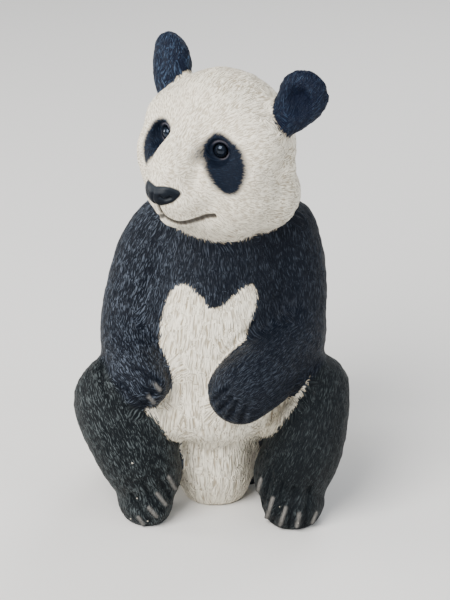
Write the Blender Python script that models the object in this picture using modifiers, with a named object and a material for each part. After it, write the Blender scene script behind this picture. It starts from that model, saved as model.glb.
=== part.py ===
"""Seated panda figurine, cast in one piece, with two set glass eyes.

Metres, +Z up. The panda faces -Y and its head is turned to its own right, which is -X.
The origin is the centre of the flat underside of the rump.
"""

import math

import bmesh
import bpy
from mathutils import Matrix, Vector
from mathutils.bvhtree import BVHTree
from mathutils.kdtree import KDTree

# Driving dimensions, in metres.
HEIGHT = 0.400
EYE_DIAMETER = 0.0120
EYE_DOME_RISE = 0.0046
EYE_BACK_DEPTH = 0.0030
EYE_CLEARANCE = 0.0003

# The figure is laid out on a sculptor's grid of 400 units to its height.
UNIT = HEIGHT / 400.0

# Carving resolution, and the triangles that the finished casting is reduced to.
VOXEL = 2.0 * UNIT
CAST_TRIANGLES = 8900
EYE_STEPS = 24

# The head's centre on the grid, and how it is turned and tipped.
HEAD_CENTRE = (3.0, -18.0, 309.0)
HEAD_YAW = math.radians(40.0)
HEAD_ROLL = math.radians(3.0)

# The middle of each eye's rim from the head's centre, and where the eye looks.
EYE_SEAT = (29.7, -30.5, 19.4)
EYE_LOOK_OUT = math.radians(20.0)
EYE_LOOK_UP = math.radians(2.0)

# The long locks of the white fur in front.
LOCK_ROWS = 13
LOCK_TOP = 6.0
LOCK_LENGTH = 22.0
LOCK_SPACING = 9.0
LOCK_DEPTH = 1.5

# The slope from which the body's carved lines are drawn, in front and a little above.
DRAWING_SLOPE = math.radians(22.0)
DRAWING_CENTRE = (0.0, -20.0, 176.0)

PAINT = {
    "black_coat": ((0.030, 0.036, 0.048, 1.0), 0.62),
    "eye_glass": ((0.020, 0.012, 0.008, 1.0), 0.08),
}


def grid(x, y, z):
    """A point of the sculptor's grid, in metres."""
    return Vector((x, y, z)) * UNIT


def head_frame():
    """Places the head's own axes on the body."""
    turn = Matrix.Rotation(-HEAD_YAW, 4, "Z") @ Matrix.Rotation(HEAD_ROLL, 4, "Y")
    return Matrix.Translation(grid(*HEAD_CENTRE)) @ turn


def drawing_frame():
    """Places the sloping plane that the body's carved lines are drawn on."""
    return Matrix.Translation(grid(*DRAWING_CENTRE)) @ Matrix.Rotation(-DRAWING_SLOPE, 4, "X")


def eye_frame(side):
    """Places an eye: its own +Z leaves the head through the middle of the dome."""
    x, y, z = EYE_SEAT
    seat = Matrix.Translation(grid(side * x, y, z))
    look = Matrix.Rotation(side * EYE_LOOK_OUT, 4, "Z") @ Matrix.Rotation(math.pi / 2 - EYE_LOOK_UP, 4, "X")
    return head_frame() @ seat @ look


def clear_scene():
    for obj in list(bpy.data.objects):
        bpy.data.objects.remove(obj, do_unlink=True)


def new_collection(name):
    collection = bpy.data.collections.new(name)
    bpy.context.scene.collection.children.link(collection)
    return collection


def make_material(name):
    colour, roughness = PAINT[name]
    material = bpy.data.materials.new(name)
    material.use_nodes = True
    shader = material.node_tree.nodes["Principled BSDF"]
    shader.inputs["Base Color"].default_value = colour
    shader.inputs["Roughness"].default_value = roughness
    return material


def ball(bm, centre, radii, tilt=(0.0, 0.0, 0.0), frame=None):
    """Adds one ellipsoid of clay, tilted by degrees about X, Y and Z."""
    turn = Matrix.Identity(4)
    for angle, axis in zip(tilt, "XYZ"):
        turn = Matrix.Rotation(math.radians(angle), 4, axis) @ turn
    size = Matrix.Diagonal((*grid(*radii), 1.0))
    place = Matrix.Translation(grid(*centre)) @ turn @ size
    if frame is not None:
        place = frame @ place
    bmesh.ops.create_icosphere(bm, subdivisions=4, radius=1.0, matrix=place)


def along(points, share):
    """The values at a share of the way along the smooth curve through points."""
    last = len(points) - 1
    spot = min(share * last, last - 1e-9)
    i = int(spot)
    t = spot - i
    before, here = points[max(i - 1, 0)], points[i]
    ahead, beyond = points[i + 1], points[min(i + 2, last)]
    made = []
    for a, b, c, d in zip(before, here, ahead, beyond):
        bend = 2 * a - 5 * b + 4 * c - d
        twist = -a + 3 * b - 3 * c + d
        made.append(0.5 * (2 * b + (c - a) * t + bend * t * t + twist * t**3))
    return made


def limb(bm, points, steps=14, frame=None):
    """Adds a tapering limb: balls of clay strung closely along a smooth curve."""
    for n in range(steps + 1):
        x, y, z, radius = along(points, n / steps)
        ball(bm, (x, y, z), (radius,) * 3, frame=frame)


def trunk(bm, sections, steps=44, corners=56):
    """Adds a trunk: ovals of clay, each (height, middle x, middle y, half width, half depth)."""
    rings = []
    for n in range(steps + 1):
        z, x, y, wide, deep = along(sections, n / steps)
        place = Matrix.Translation(grid(x, y, z)) @ Matrix.Diagonal((*grid(wide, deep, 1.0), 1.0))
        made = bmesh.ops.create_circle(bm, segments=corners, radius=1.0, matrix=place)
        ring = made["verts"]
        rings.append([e for e in bm.edges if e.verts[0] in ring and e.verts[1] in ring])
    for low, high in zip(rings, rings[1:]):
        bmesh.ops.bridge_loops(bm, edges=low + high)
    bmesh.ops.edgeloop_fill(bm, edges=rings[0])
    bmesh.ops.edgeloop_fill(bm, edges=rings[-1])


def add_torso(bm):
    sections = [
        (-6, 0, 20, 62, 56),
        (20, 0, 23, 78, 70),
        (50, 0, 18, 84, 80),
        (82, 0, 8, 84, 90),
        (112, 0, 3, 83, 93),
        (138, 1, 3, 81, 92),
        (164, 3, 8, 79, 86),
        (190, 4, 12, 75, 79),
        (216, 5, 15, 69, 71),
        (240, 6, 14, 61, 61),
        (262, 7, 8, 53, 52),
        (288, 5, 0, 46, 42),
    ]
    trunk(bm, sections)
    # The belly that fills the lap, the fur between the legs, and the short tail behind.
    ball(bm, (1, -38, 97), (70, 62, 43))
    ball(bm, (1, -45, 44), (35, 35, 61))
    ball(bm, (0, 92, 30), (17, 14, 26), (-12, 0, 0))


def add_head(bm):
    frame = head_frame()
    ball(bm, (0, 10, 8), (66, 54, 66), frame=frame)
    ball(bm, (0, -2, -26), (62, 48, 48), frame=frame)
    for side in (-1, 1):
        # The temple, the cheek, the ruff behind it, the side of the face,
        # the side of the head, and the root of the muzzle.
        ball(bm, (side * 36, -3, 21), (34, 33, 32), frame=frame)
        ball(bm, (side * 32, -8, -14), (37, 36, 40), frame=frame)
        ball(bm, (side * 37, 17, -28), (34, 34, 34), frame=frame)
        ball(bm, (side * 45, -20, -3), (22, 22, 32), frame=frame)
        ball(bm, (side * 46, 14, -6), (24, 24, 26), frame=frame)
        ball(bm, (side * 22, -28, -8), (25, 25, 25), frame=frame)
        add_ear(bm, side, frame)
    # The bridge of the nose, the muzzle and the chin.
    limb(bm, [(0, -26, 34, 17), (0, -40, 18, 18), (0, -54, 3, 21), (0, -57, -8, 20)], 8, frame)
    ball(bm, (0, -47, -20), (30, 29, 22), frame=frame)
    ball(bm, (0, -40, -34), (24, 28, 20), frame=frame)


def add_ear(bm, side, frame):
    """Adds an ear that widens from its root at the side of the head."""
    sizes = [(61, 12, 37, 9, 9, 10), (65, 18, 50, 17, 10, 18), (70, 25, 64.3, 22.5, 10, 24.7)]
    if side < 0:
        sizes = [(61, 9, 36, 10, 11, 11), (67, 13, 49, 19, 12.5, 19), (72.5, 22.5, 64.3, 25, 12.5, 24.7)]
    for n in range(9):
        x, y, z, wide, thick, tall = along(sizes, n / 8)
        ball(bm, (side * x, y, z), (wide, thick, tall), (8, side * 20, side * 20), frame)


def add_arms(bm):
    # The panda's right arm hangs down to the knee.
    right = [
        (-38, 4, 241, 27),
        (-47, 6, 216, 36),
        (-56, 2, 188, 37),
        (-66, -12, 157, 34),
        (-69, -42, 138, 29),
        (-64, -72, 131, 25.5),
        (-58, -90, 127, 20.5),
    ]
    limb(bm, right, 22)
    # Its left arm lies across the belly.
    left = [
        (58, 6, 228, 35),
        (64, 0, 196, 36),
        (67, -14, 160, 33),
        (64, -46, 143, 32),
        (42, -86, 135, 30),
        (23, -106, 127, 28),
    ]
    limb(bm, left, 18)


def add_legs(bm):
    right = [(-52, 0, 62, 46), (-82, -62, 100, 40), (-68, -84, 66, 37), (-58.5, -82, 38, 31)]
    limb(bm, right)
    ball(bm, (-60, -87, 17), (24, 31, 26), (0, 0, 20))
    left = [(54, 0, 62, 46), (89, -44, 105, 29), (89, -68, 95, 29.5), (79, -86, 67, 34), (68, -83, 38, 33.5)]
    limb(bm, left, 18)
    ball(bm, (69.5, -90, 17), (28, 34, 27), (0, 0, -8))


def model_clay():
    """All the clay of the figure, still as separate lumps in one mesh."""
    bm = bmesh.new()
    add_torso(bm)
    add_head(bm)
    add_arms(bm)
    add_legs(bm)
    bmesh.ops.recalc_face_normals(bm, faces=bm.faces[:])
    mesh = bpy.data.meshes.new("clay")
    bm.to_mesh(mesh)
    bm.free()
    return mesh


def evaluated_copy(obj, name):
    """A new mesh of the object with its modifiers applied."""
    graph = bpy.context.evaluated_depsgraph_get()
    mesh = bpy.data.meshes.new_from_object(obj.evaluated_get(graph))
    mesh.name = name
    return mesh


def fuse(mesh, collection):
    """Fuses the lumps into one skin and blends the joins."""
    obj = bpy.data.objects.new("fused", mesh)
    collection.objects.link(obj)
    remesh = obj.modifiers.new("fuse", "REMESH")
    remesh.mode = "VOXEL"
    remesh.voxel_size = VOXEL
    blend = obj.modifiers.new("blend", "SMOOTH")
    blend.factor = 0.5
    blend.iterations = 24
    made = evaluated_copy(obj, "fused_skin")
    bpy.data.objects.remove(obj, do_unlink=True)
    return made


class Skin:
    """The fused skin while it is carved. Lines are drawn in a frame and dropped along its +Y."""

    def __init__(self, mesh):
        self.mesh = mesh
        self.bm = bmesh.new()
        self.bm.from_mesh(mesh)
        keep_outer_skin(self.bm)
        self.refresh()

    def refresh(self):
        """Takes up the shape as carved so far."""
        self.bm.normal_update()
        self.surface = BVHTree.FromBMesh(self.bm)
        self.near = KDTree(len(self.bm.verts))
        for vert in self.bm.verts:
            self.near.insert(vert.co, vert.index)
        self.near.balance()

    def drop(self, frame, x, z):
        """Where the line of sight through (x, z) of the frame meets the skin."""
        start = frame @ grid(x, -300.0, z)
        sight = (frame.to_3x3() @ Vector((0.0, 1.0, 0.0))).normalized()
        return self.surface.ray_cast(start, sight)[0]

    def reached(self, spots, width):
        """Distance of each skin point within width of any of the spots."""
        found = {}
        for spot in spots:
            for _, index, distance in self.near.find_range(spot, width * UNIT):
                if distance < found.get(index, 1e9):
                    found[index] = distance
        return found

    def line(self, frame, marks, width, depth, steps=16):
        """Carves a line, or raises a ridge where depth is below nought, tapering at its ends."""
        spots = [self.drop(frame, *along(marks, n / steps)) for n in range(steps + 1)]
        spots = [spot for spot in spots if spot is not None]
        for index, distance in self.reached(spots, width).items():
            vert = self.bm.verts[index]
            fall = 0.5 + 0.5 * math.cos(math.pi * distance / (width * UNIT))
            vert.co -= vert.normal * (depth * fall * UNIT)

    def push(self, frame, centre, radii, move, firm=0.0):
        """Moves the skin within an ellipsoid of the frame, fully over its firm middle share."""
        back = frame.inverted()
        middle = frame @ grid(*centre)
        shift = frame.to_3x3() @ grid(*move)
        for _, index, _ in self.near.find_range(middle, max(radii) * UNIT):
            vert = self.bm.verts[index]
            away = (back @ vert.co) / UNIT - Vector(centre)
            share = math.sqrt(sum((a / r) ** 2 for a, r in zip(away, radii)))
            if share < 1.0:
                fall = 0.5 + 0.5 * math.cos(math.pi * max(0.0, share - firm) / (1.0 - firm))
                vert.co += shift * fall

    def done(self):
        self.bm.to_mesh(self.mesh)
        self.bm.free()
        return self.mesh


def carve_face(skin):
    frame = head_frame()
    for side in (-1, 1):
        # The hollow round each eye, and the brow above it.
        skin.push(frame, (side * 29, -36, 19), (17, 26, 15), (0, 5.0, 0))
        skin.push(frame, (side * 36, -44, 40), (20, 30, 12), (0, -2.0, 0))
        # The hollow between the muzzle and the cheek.
        skin.push(frame, (side * 34, -44, 2), (14, 26, 16), (0, -3.0, 0))
        # The cup of each ear.
        skin.push(frame, (side * 68, 18, 60), (17, 22, 19), (0, 8.0, 0))
    skin.refresh()
    # The nose pad: a rounded triangle that stands out of the muzzle.
    skin.push(frame, (0, -76, -11), (22, 20, 9), (0, -3.5, 0), 0.5)
    skin.push(frame, (0, -78, -18), (13, 20, 9), (0, -2.5, 0), 0.4)
    skin.refresh()
    for side in (-1, 1):
        skin.line(frame, [(side * 7, -14), (side * 11, -16), (side * 14, -14)], 3.2, 2.2)
        # The line under the nose pad, and the mouth.
        skin.line(frame, [(side * 18, -18), (side * 11, -22), (side * 1, -25)], 3.0, 1.4)
        mouth = [(0, -35), (side * 9, -40), (side * 19, -41), (side * 29, -37), (side * 36, -35)]
        skin.line(frame, mouth, 3.4, 2.2, 28)
    skin.line(frame, [(0, -24), (0, -30), (0, -36)], 3.0, 1.8)
    skin.push(frame, (0, -60, -50), (20, 24, 8), (0, -1.5, 0))
    skin.refresh()
    for side in (-1, 1):
        add_lids(skin, side)


def add_lids(skin, side):
    """Raises the lids as a low ring round the eye."""
    frame = eye_frame(side) @ Matrix.Rotation(-math.pi / 2, 4, "X")
    ring = EYE_DIAMETER / 2 / UNIT + 1.8
    marks = []
    for n in range(25):
        turn = math.tau * n / 24
        marks.append((ring * 1.12 * math.cos(turn), ring * math.sin(turn)))
    skin.line(frame, marks, 3.6, -1.8, 48)


def carve_body(skin):
    frame = drawing_frame()
    # The crease where the belly hangs over the fur between the legs.
    skin.line(frame, [(-36, -120), (-20, -124), (0, -129), (20, -123), (35, -117)], 8.0, 3.5)
    # The edge of the arm that lies on the belly, and the folds of the other wrist.
    skin.line(frame, [(40, -12), (27, -26), (13, -43), (0, -58), (-3, -76)], 6.0, 3.0)
    skin.line(frame, [(74, -68), (60, -90), (42, -106), (22, -106)], 6.0, 2.5)
    skin.line(frame, [(-92, -56), (-84, -76), (-70, -92), (-56, -96)], 6.0, 2.5)
    skin.refresh()


def carve_locks(skin):
    """Carves the long locks of the belly and of the fur between the legs, in staggered rows."""
    frame = drawing_frame()
    for row in range(LOCK_ROWS):
        top = LOCK_TOP - row * LOCK_LENGTH * 0.62
        for column in range(-4, 5):
            x = (column + 0.5 * (row % 2)) * LOCK_SPACING
            lean = 2.5 * math.sin(2.3 * row + 1.7 * column)
            marks = [(x, top), (x + lean, top - LOCK_LENGTH / 2), (x + 0.6 * lean, top - LOCK_LENGTH)]
            width = 34 if row else 22
            if abs(x) < width and on_white_fur(x, top - LOCK_LENGTH / 2):
                skin.line(frame, marks, LOCK_SPACING * 0.5, LOCK_DEPTH, 10)
    skin.refresh()


def on_white_fur(x, up):
    """Whether a drawn point lies on the belly or the fur below it, clear of the arms."""
    arm_edge = 46 + up * 0.92
    return -42 < x < (arm_edge if up > -78 else 34) and (x < 2 or up > -62 or up < -104)


def carve_paws(skin):
    frame = drawing_frame()
    # Each digit ends in a claw, drawn from root to tip. Creases part the digits.
    right_foot = [
        ((-40, -152), (-33, -165)),
        ((-49, -165), (-42, -175)),
        ((-59, -179), (-50, -188)),
        ((-67, -184), (-62, -193)),
    ]
    left_foot = [
        ((41, -157), (38, -173)),
        ((51, -172), (46, -188)),
        ((61, -181), (58, -193)),
        ((73, -185), (71, -194)),
        ((87, -182), (84, -192)),
    ]
    right_creases = [
        ((-52, -143), (-45, -157), (-37, -170)),
        ((-62, -154), (-54, -170), (-45, -181)),
        ((-71, -166), (-64, -180), (-57, -190)),
    ]
    left_creases = [
        ((49, -148), (46, -164), (41, -182)),
        ((58, -156), (56, -174), (52, -190)),
        ((68, -160), (67, -178), (65, -193)),
        ((81, -160), (80, -178), (78, -192)),
    ]
    left_hand = [
        ((6, -76), (7, -86), (8, -96)),
        ((16, -80), (17, -90), (18, -101)),
        ((27, -82), (28, -92), (29, -103)),
    ]
    right_hand = [
        ((-75, -72), (-70, -83), (-64, -91)),
        ((-67, -68), (-60, -79), (-53, -88)),
        ((-57, -66), (-50, -75), (-43, -82)),
    ]
    for marks in right_creases + left_creases:
        skin.line(frame, marks, 4.5, 2.4)
    for marks in left_hand + right_hand:
        skin.line(frame, marks, 3.6, 1.8)
    skin.refresh()
    for marks in right_foot + left_foot:
        skin.line(frame, marks, 2.8, -1.8)


def protect(obj):
    """Marks the plain parts. The face, ears, paws and belly keep smaller triangles."""
    frame = head_frame().inverted()
    group = obj.vertex_groups.new(name="plain")
    for vert in obj.data.vertices:
        at = (frame @ vert.co) / UNIT
        face = at.y < -20 and at.z > -56
        ear = at.z > 36 and abs(at.x) > 48
        paw = vert.co.y < -70 * UNIT and vert.co.z < 40 * UNIT
        belly = vert.co.y < -50 * UNIT and abs(vert.co.x) < 38 * UNIT
        group.add([vert.index], 0.5 if face or ear or paw or belly else 1.0, "REPLACE")
    return group.name


def reduce(mesh, collection):
    """Reduces the skin to the casting's triangles."""
    obj = bpy.data.objects.new("reduced", mesh)
    collection.objects.link(obj)
    mesh.calc_loop_triangles()
    fewer = obj.modifiers.new("reduce", "DECIMATE")
    fewer.ratio = CAST_TRIANGLES / len(mesh.loop_triangles)
    fewer.vertex_group = protect(obj)
    fewer.vertex_group_factor = 1.0
    made = evaluated_copy(obj, "panda_casting")
    bpy.data.objects.remove(obj, do_unlink=True)
    return made


def keep_outer_skin(bm):
    """Removes the skins of pockets that the lumps of clay closed in between them."""
    bm.verts.ensure_lookup_table()
    seen = set()
    skins = []
    for start in bm.verts:
        if start.index in seen:
            continue
        seen.add(start.index)
        found = [start]
        for vert in found:
            for edge in vert.link_edges:
                other = edge.other_vert(vert)
                if other.index not in seen:
                    seen.add(other.index)
                    found.append(other)
        skins.append(found)
    skins.sort(key=len)
    inner = [vert for found in skins[:-1] for vert in found]
    bmesh.ops.delete(bm, geom=inner, context="VERTS")
    bm.verts.ensure_lookup_table()
    bm.verts.index_update()


def cut_underside(mesh):
    """Cuts the figure off flat where it stands."""
    bm = bmesh.new()
    bm.from_mesh(mesh)
    everything = bm.verts[:] + bm.edges[:] + bm.faces[:]
    bmesh.ops.bisect_plane(
        bm, geom=everything, dist=1e-6, plane_co=(0, 0, 0), plane_no=(0, 0, 1), clear_inner=True
    )
    rim = [e for e in bm.edges if e.is_boundary]
    bmesh.ops.edgeloop_fill(bm, edges=rim)
    keep_outer_skin(bm)
    bmesh.ops.recalc_face_normals(bm, faces=bm.faces[:])
    bm.to_mesh(mesh)
    bm.free()


def eye_mesh(name, side, radius, back, front):
    """A round body on the eye's axis, from its back depth to its front height."""
    bm = bmesh.new()
    profile = [(0.0, -back), (radius, -back), (radius, 0.0)]
    for n in range(1, 7):
        turn = math.pi / 2 * n / 6
        profile.append((radius * math.cos(turn), front * math.sin(turn)))
    verts = [bm.verts.new((r if r > 1e-9 else 0.0, 0.0, h)) for r, h in profile]
    edges = [bm.edges.new(pair) for pair in zip(verts, verts[1:])]
    bmesh.ops.spin(
        bm, geom=verts + edges, cent=(0, 0, 0), axis=(0, 0, 1), angle=math.tau,
        steps=EYE_STEPS, use_merge=True,
    )
    bmesh.ops.remove_doubles(bm, verts=bm.verts[:], dist=1e-6)
    bmesh.ops.recalc_face_normals(bm, faces=bm.faces[:])
    bmesh.ops.transform(bm, matrix=eye_frame(side), verts=bm.verts[:])
    mesh = bpy.data.meshes.new(name)
    bm.to_mesh(mesh)
    bm.free()
    return mesh


def cut_socket(figure, side, cutters):
    """Cuts the socket that an eye is set in, wider and deeper by the clearance."""
    radius = EYE_DIAMETER / 2 + EYE_CLEARANCE
    back = EYE_BACK_DEPTH + EYE_CLEARANCE
    cutter = bpy.data.objects.new("socket", eye_mesh("socket", side, radius, back, 0.012))
    cutters.objects.link(cutter)
    cutter.hide_render = True
    cutter.display_type = "WIRE"
    cut = figure.modifiers.new("socket", "BOOLEAN")
    cut.operation = "DIFFERENCE"
    cut.solver = "EXACT"
    cut.object = cutter


def main():
    clear_scene()
    collection = new_collection("panda_figurine")
    cutters = new_collection("cutters")
    skin = Skin(fuse(model_clay(), collection))
    carve_face(skin)
    carve_body(skin)
    carve_locks(skin)
    carve_paws(skin)
    casting = reduce(skin.done(), collection)
    cut_underside(casting)
    casting.materials.clear()
    casting.materials.append(make_material("black_coat"))
    figure = bpy.data.objects.new("panda_casting", casting)
    collection.objects.link(figure)
    glass = make_material("eye_glass")
    for side, name in ((-1, "eye_right"), (1, "eye_left")):
        cut_socket(figure, side, cutters)
        mesh = eye_mesh(name, side, EYE_DIAMETER / 2, EYE_BACK_DEPTH, EYE_DOME_RISE)
        mesh.materials.append(glass)
        collection.objects.link(bpy.data.objects.new(name, mesh))


main()
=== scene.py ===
"""Dresses the seated panda figurine: its moulded and painted fur, its glass eyes and its stage."""

import math

import bmesh
import bpy
import numpy as np
from bpy.props import FloatProperty, FloatVectorProperty, IntProperty, PointerProperty
from mathutils import Matrix, Vector
from mathutils.bvhtree import BVHTree
from mathutils.kdtree import KDTree


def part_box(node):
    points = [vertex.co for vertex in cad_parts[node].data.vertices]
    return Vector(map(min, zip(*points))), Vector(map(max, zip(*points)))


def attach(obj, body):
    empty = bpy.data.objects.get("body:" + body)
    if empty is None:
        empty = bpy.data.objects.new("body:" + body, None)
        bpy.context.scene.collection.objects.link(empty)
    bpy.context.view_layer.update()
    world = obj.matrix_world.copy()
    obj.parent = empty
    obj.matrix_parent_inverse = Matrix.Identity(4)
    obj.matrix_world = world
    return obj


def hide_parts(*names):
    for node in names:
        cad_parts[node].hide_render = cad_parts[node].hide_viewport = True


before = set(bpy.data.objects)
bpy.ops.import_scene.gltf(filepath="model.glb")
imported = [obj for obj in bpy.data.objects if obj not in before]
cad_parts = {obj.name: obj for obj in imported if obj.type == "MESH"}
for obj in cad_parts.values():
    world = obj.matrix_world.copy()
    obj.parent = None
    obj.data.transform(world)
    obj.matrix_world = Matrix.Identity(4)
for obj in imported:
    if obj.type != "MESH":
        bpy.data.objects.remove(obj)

bl_info = {
    "name": "Panda figurine",
    "version": (1, 0, 0),
    "blender": (4, 5, 0),
    "location": "3D View > Sidebar > Panda",
    "description": "Models and paints a cast panda figurine with set glass eyes",
    "category": "Object",
}

CASTING, EYE_RIGHT, EYE_LEFT = "panda_casting", "eye_right", "eye_left"
LOW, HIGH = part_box(CASTING)

# The figure is laid out on a sculptor's grid, with one millimetre to a unit.
UNIT = 0.001

# The head's centre on the grid, and how it is turned and tipped.
HEAD_CENTRE = (3.0, -18.0, 309.0)
HEAD_YAW = math.radians(40.0)
HEAD_ROLL = math.radians(3.0)

# The middle of each eye's rim from the head's centre, and where the eye looks.
EYE_SEAT = (29.7, -30.5, 19.4)
EYE_LOOK_OUT = math.radians(20.0)
EYE_LOOK_UP = math.radians(2.0)

# The sloping plane that the body's lines are drawn on, seen from a little above, and where a dropped
# line starts.
DRAWING_SLOPE = math.radians(22.0)
DRAWING_CENTRE = (0.0, -20.0, 176.0)
FAR_IN_FRONT = 300.0

# Ovals of clay up the trunk: height, middle x, middle y, half width, half depth.
TRUNK = [
    (-6, 0, 20, 62, 56),
    (20, 0, 23, 78, 70),
    (50, 0, 18, 84, 80),
    (82, 0, 8, 84, 90),
    (112, 0, 3, 83, 93),
    (138, 1, 3, 81, 92),
    (164, 3, 8, 79, 86),
    (190, 4, 12, 75, 79),
    (216, 5, 15, 69, 71),
    (240, 6, 14, 61, 61),
    (262, 7, 8, 53, 52),
    (288, 5, 0, 46, 42),
]
TRUNK_TOP = 292.0

# Rounds of blending at a grain of one unit. A coarser grain needs fewer for the same softness.
BLEND_ROUNDS = 96

# Single lumps on the trunk: middle, radii, tilt in degrees.
LAP = ((1, -38, 97), (70, 62, 43), (0, 0, 0))
FRONT_FUR = ((1, -45, 44), (35, 35, 61), (0, 0, 0))
TAIL = ((0, 92, 30), (17, 14, 26), (-12, 0, 0))

# Limbs as curves: x, y, z, radius.
RIGHT_ARM = [
    (-38, 4, 241, 27),
    (-47, 6, 216, 36),
    (-56, 2, 188, 37),
    (-66, -12, 157, 34),
    (-69, -42, 138, 29),
    (-64, -72, 131, 25.5),
    (-58, -90, 127, 20.5),
]
LEFT_ARM = [
    (58, 6, 228, 35),
    (64, 0, 196, 36),
    (67, -14, 160, 33),
    (64, -46, 143, 32),
    (42, -86, 135, 30),
    (23, -106, 127, 28),
]
RIGHT_LEG = [(-52, 0, 62, 46), (-82, -62, 100, 40), (-68, -84, 66, 37), (-58.5, -82, 38, 31)]
LEFT_LEG = [(54, 0, 62, 46), (89, -44, 105, 29), (89, -68, 95, 29.5), (79, -86, 67, 34), (68, -83, 38, 33.5)]
RIGHT_FOOT = ((-60, -87, 17), (24, 31, 26), (0, 0, 20))
LEFT_FOOT = ((69.5, -90, 17), (28, 34, 27), (0, 0, -8))

# The head's lumps in its own frame; those in pairs are given for the panda's left side.
HEAD_LUMPS = [((0, 10, 8), (66, 54, 66)), ((0, -2, -26), (62, 48, 48))]
HEAD_PAIRS = [
    ((36, -3, 21), (34, 33, 32)),
    ((32, -8, -14), (37, 36, 40)),
    ((37, 17, -28), (34, 34, 34)),
    ((45, -20, -3), (22, 22, 32)),
    ((46, 14, -6), (24, 24, 26)),
    ((22, -28, -8), (25, 25, 25)),
]
BRIDGE = [(0, -26, 34, 17), (0, -40, 18, 18), (0, -54, 3, 21), (0, -57, -8, 20)]
MUZZLE_LUMPS = [((0, -47, -20), (30, 29, 22)), ((0, -40, -34), (24, 28, 20))]
EARS = {
    1: [(61, 12, 37, 9, 9, 10), (65, 18, 50, 17, 10, 18), (70, 25, 64.3, 22.5, 10, 24.7)],
    -1: [(61, 9, 36, 10, 11, 11), (67, 13, 49, 19, 12.5, 19), (72.5, 22.5, 64.3, 25, 12.5, 24.7)],
}
EAR_TILT = (8, 20, 20)

# Where the fur of the face and of an ear starts from.
NOSE_TIP = (0.0, -64.0, 2.0)
EAR_ROOT = (60.0, 12.0, 30.0)

# Outlines of the eye patches in the head's own front view, by side, as distances from its middle.
PATCHES = {
    1: [
        (25, 35), (20, 29), (17.5, 22), (19, 15), (24.8, 8.4), (32.8, 2.2), (38.4, -6.2), (43.5, -12),
        (50, -12.5), (56, -8.5), (59.5, 0), (59.5, 10), (56, 18), (51, 26), (43, 31.5), (33, 35.5),
    ],
    -1: [
        (25, 32), (20, 29), (17.5, 22), (19, 15), (24.8, 7.5), (30.5, 0), (37, -6.5), (43, -7.5),
        (47, 1), (48.5, 10), (47, 20), (41, 29), (33, 33),
    ],
}

# One half of the nose pad from its top middle to its bottom middle, and of the mouth.
NOSE_HALF = [
    (0, -8), (6, -6.8), (11, -6.6), (15, -8), (18.5, -11), (18.5, -14.5), (15.5, -19), (11, -22),
    (5, -24.5), (0, -25.5),
]
NOSE = NOSE_HALF + [(-x, z) for x, z in NOSE_HALF[-2:0:-1]]
MOUTH = [(0, -37.5), (6, -41), (12, -42.8), (19, -41), (26, -37.5), (33, -35.5)]

# The white of the chest and belly as seen from the front: x and how far up the sloping plane.
BELLY = [
    (-39, 0), (-36, 7), (-30, 13.5), (-20, 11), (-11, 2), (0, -9), (14, 0), (28, 12), (35, 10), (37, 1),
    (35, -9), (31, -20), (27, -30), (32, -42), (50, -52), (66, -58), (81, -63), (80, -72), (72, -88),
    (61, -103), (49, -118), (42, -126), (42, -215), (-40, -215), (-38, -128), (-42, -113), (-50, -101),
    (-57, -95), (-53, -86), (-46, -74), (-44.5, -50), (-45, -20),
]

# Claws from root to tip, and the creases between the digits, drawn on the sloping plane.
CLAWS = [
    ((-38.5, -152), (-33, -164)),
    ((-48.5, -167), (-41, -177)),
    ((-55.5, -179), (-49, -187)),
    ((-65, -188), (-61, -194.5)),
    ((41, -155), (37.5, -169)),
    ((51, -171), (46, -189)),
    ((62, -178.5), (57.5, -194.5)),
    ((74, -184), (72, -195.5)),
    ((89, -184), (85.5, -193)),
    ((-50, -70), (-45, -76)),
    ((-55, -81), (-50, -87.5)),
]
FOOT_CREASES = [
    ((-52, -143), (-45, -157), (-38, -171)),
    ((-62, -156), (-54, -171), (-45, -183)),
    ((-71, -168), (-63, -181), (-55, -191)),
    ((49, -148), (46, -164), (41, -181)),
    ((59, -158), (56, -176), (51, -192)),
    ((70, -162), (68, -180), (65, -195)),
    ((83, -162), (81, -180), (79, -194)),
]
HAND_CREASES = [
    ((0, -85), (5, -80), (11, -74)),
    ((5, -93), (9, -88), (15, -81)),
    ((13, -99), (16, -94), (20, -86)),
    ((23, -102), (25, -97), (28, -90)),
    ((-80, -74), (-69, -83), (-58, -91)),
    ((-72, -65), (-62, -73), (-51, -80)),
    ((-63, -58), (-55, -63), (-46, -69)),
]

# Chips where the pale ground shows through the black: place on the sloping plane, and size. Then, in
# metres, where a chip of size 1 begins and is full, and how ragged it is.
CHIPS = [
    (-69, -139, 1.0),
    (-66, -171, 0.7),
    (-72, -190, 0.7),
    (-57, -191.5, 0.7),
    (57, -178, 0.5),
    (73, -192, 0.6),
]
CHIP_OUTER = 0.0017
CHIP_INNER = 0.0012
CHIP_RAGGED = 0.0014

# Swellings and hollows of the head, given for the panda's left: middle, reach, how far the skin moves
# back, and the share of the reach that moves fully.
FACE_FORMS = {
    "eye hollow": ((29, -36, 19), (17, 26, 15), 5.0, 0.0),
    "brow": ((36, -44, 40), (20, 30, 12), -2.0, 0.0),
    "cheek": ((34, -44, 2), (14, 26, 16), -3.0, 0.0),
}
EAR_FORMS = {
    "bowl": ((68, 18, 60), (17, 22, 19), 8.0, 0.0),
    "bottom of the bowl": ((72, 20, 61), (14, 20, 18), 3.5, 0.4),
}
CHIN = ((0, -60, -50), (20, 24, 8), -1.5, 0.0)
BELLY_FORM = ((0, -10, -122), (40, 60, 13), -3.0, 0.0)

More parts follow.
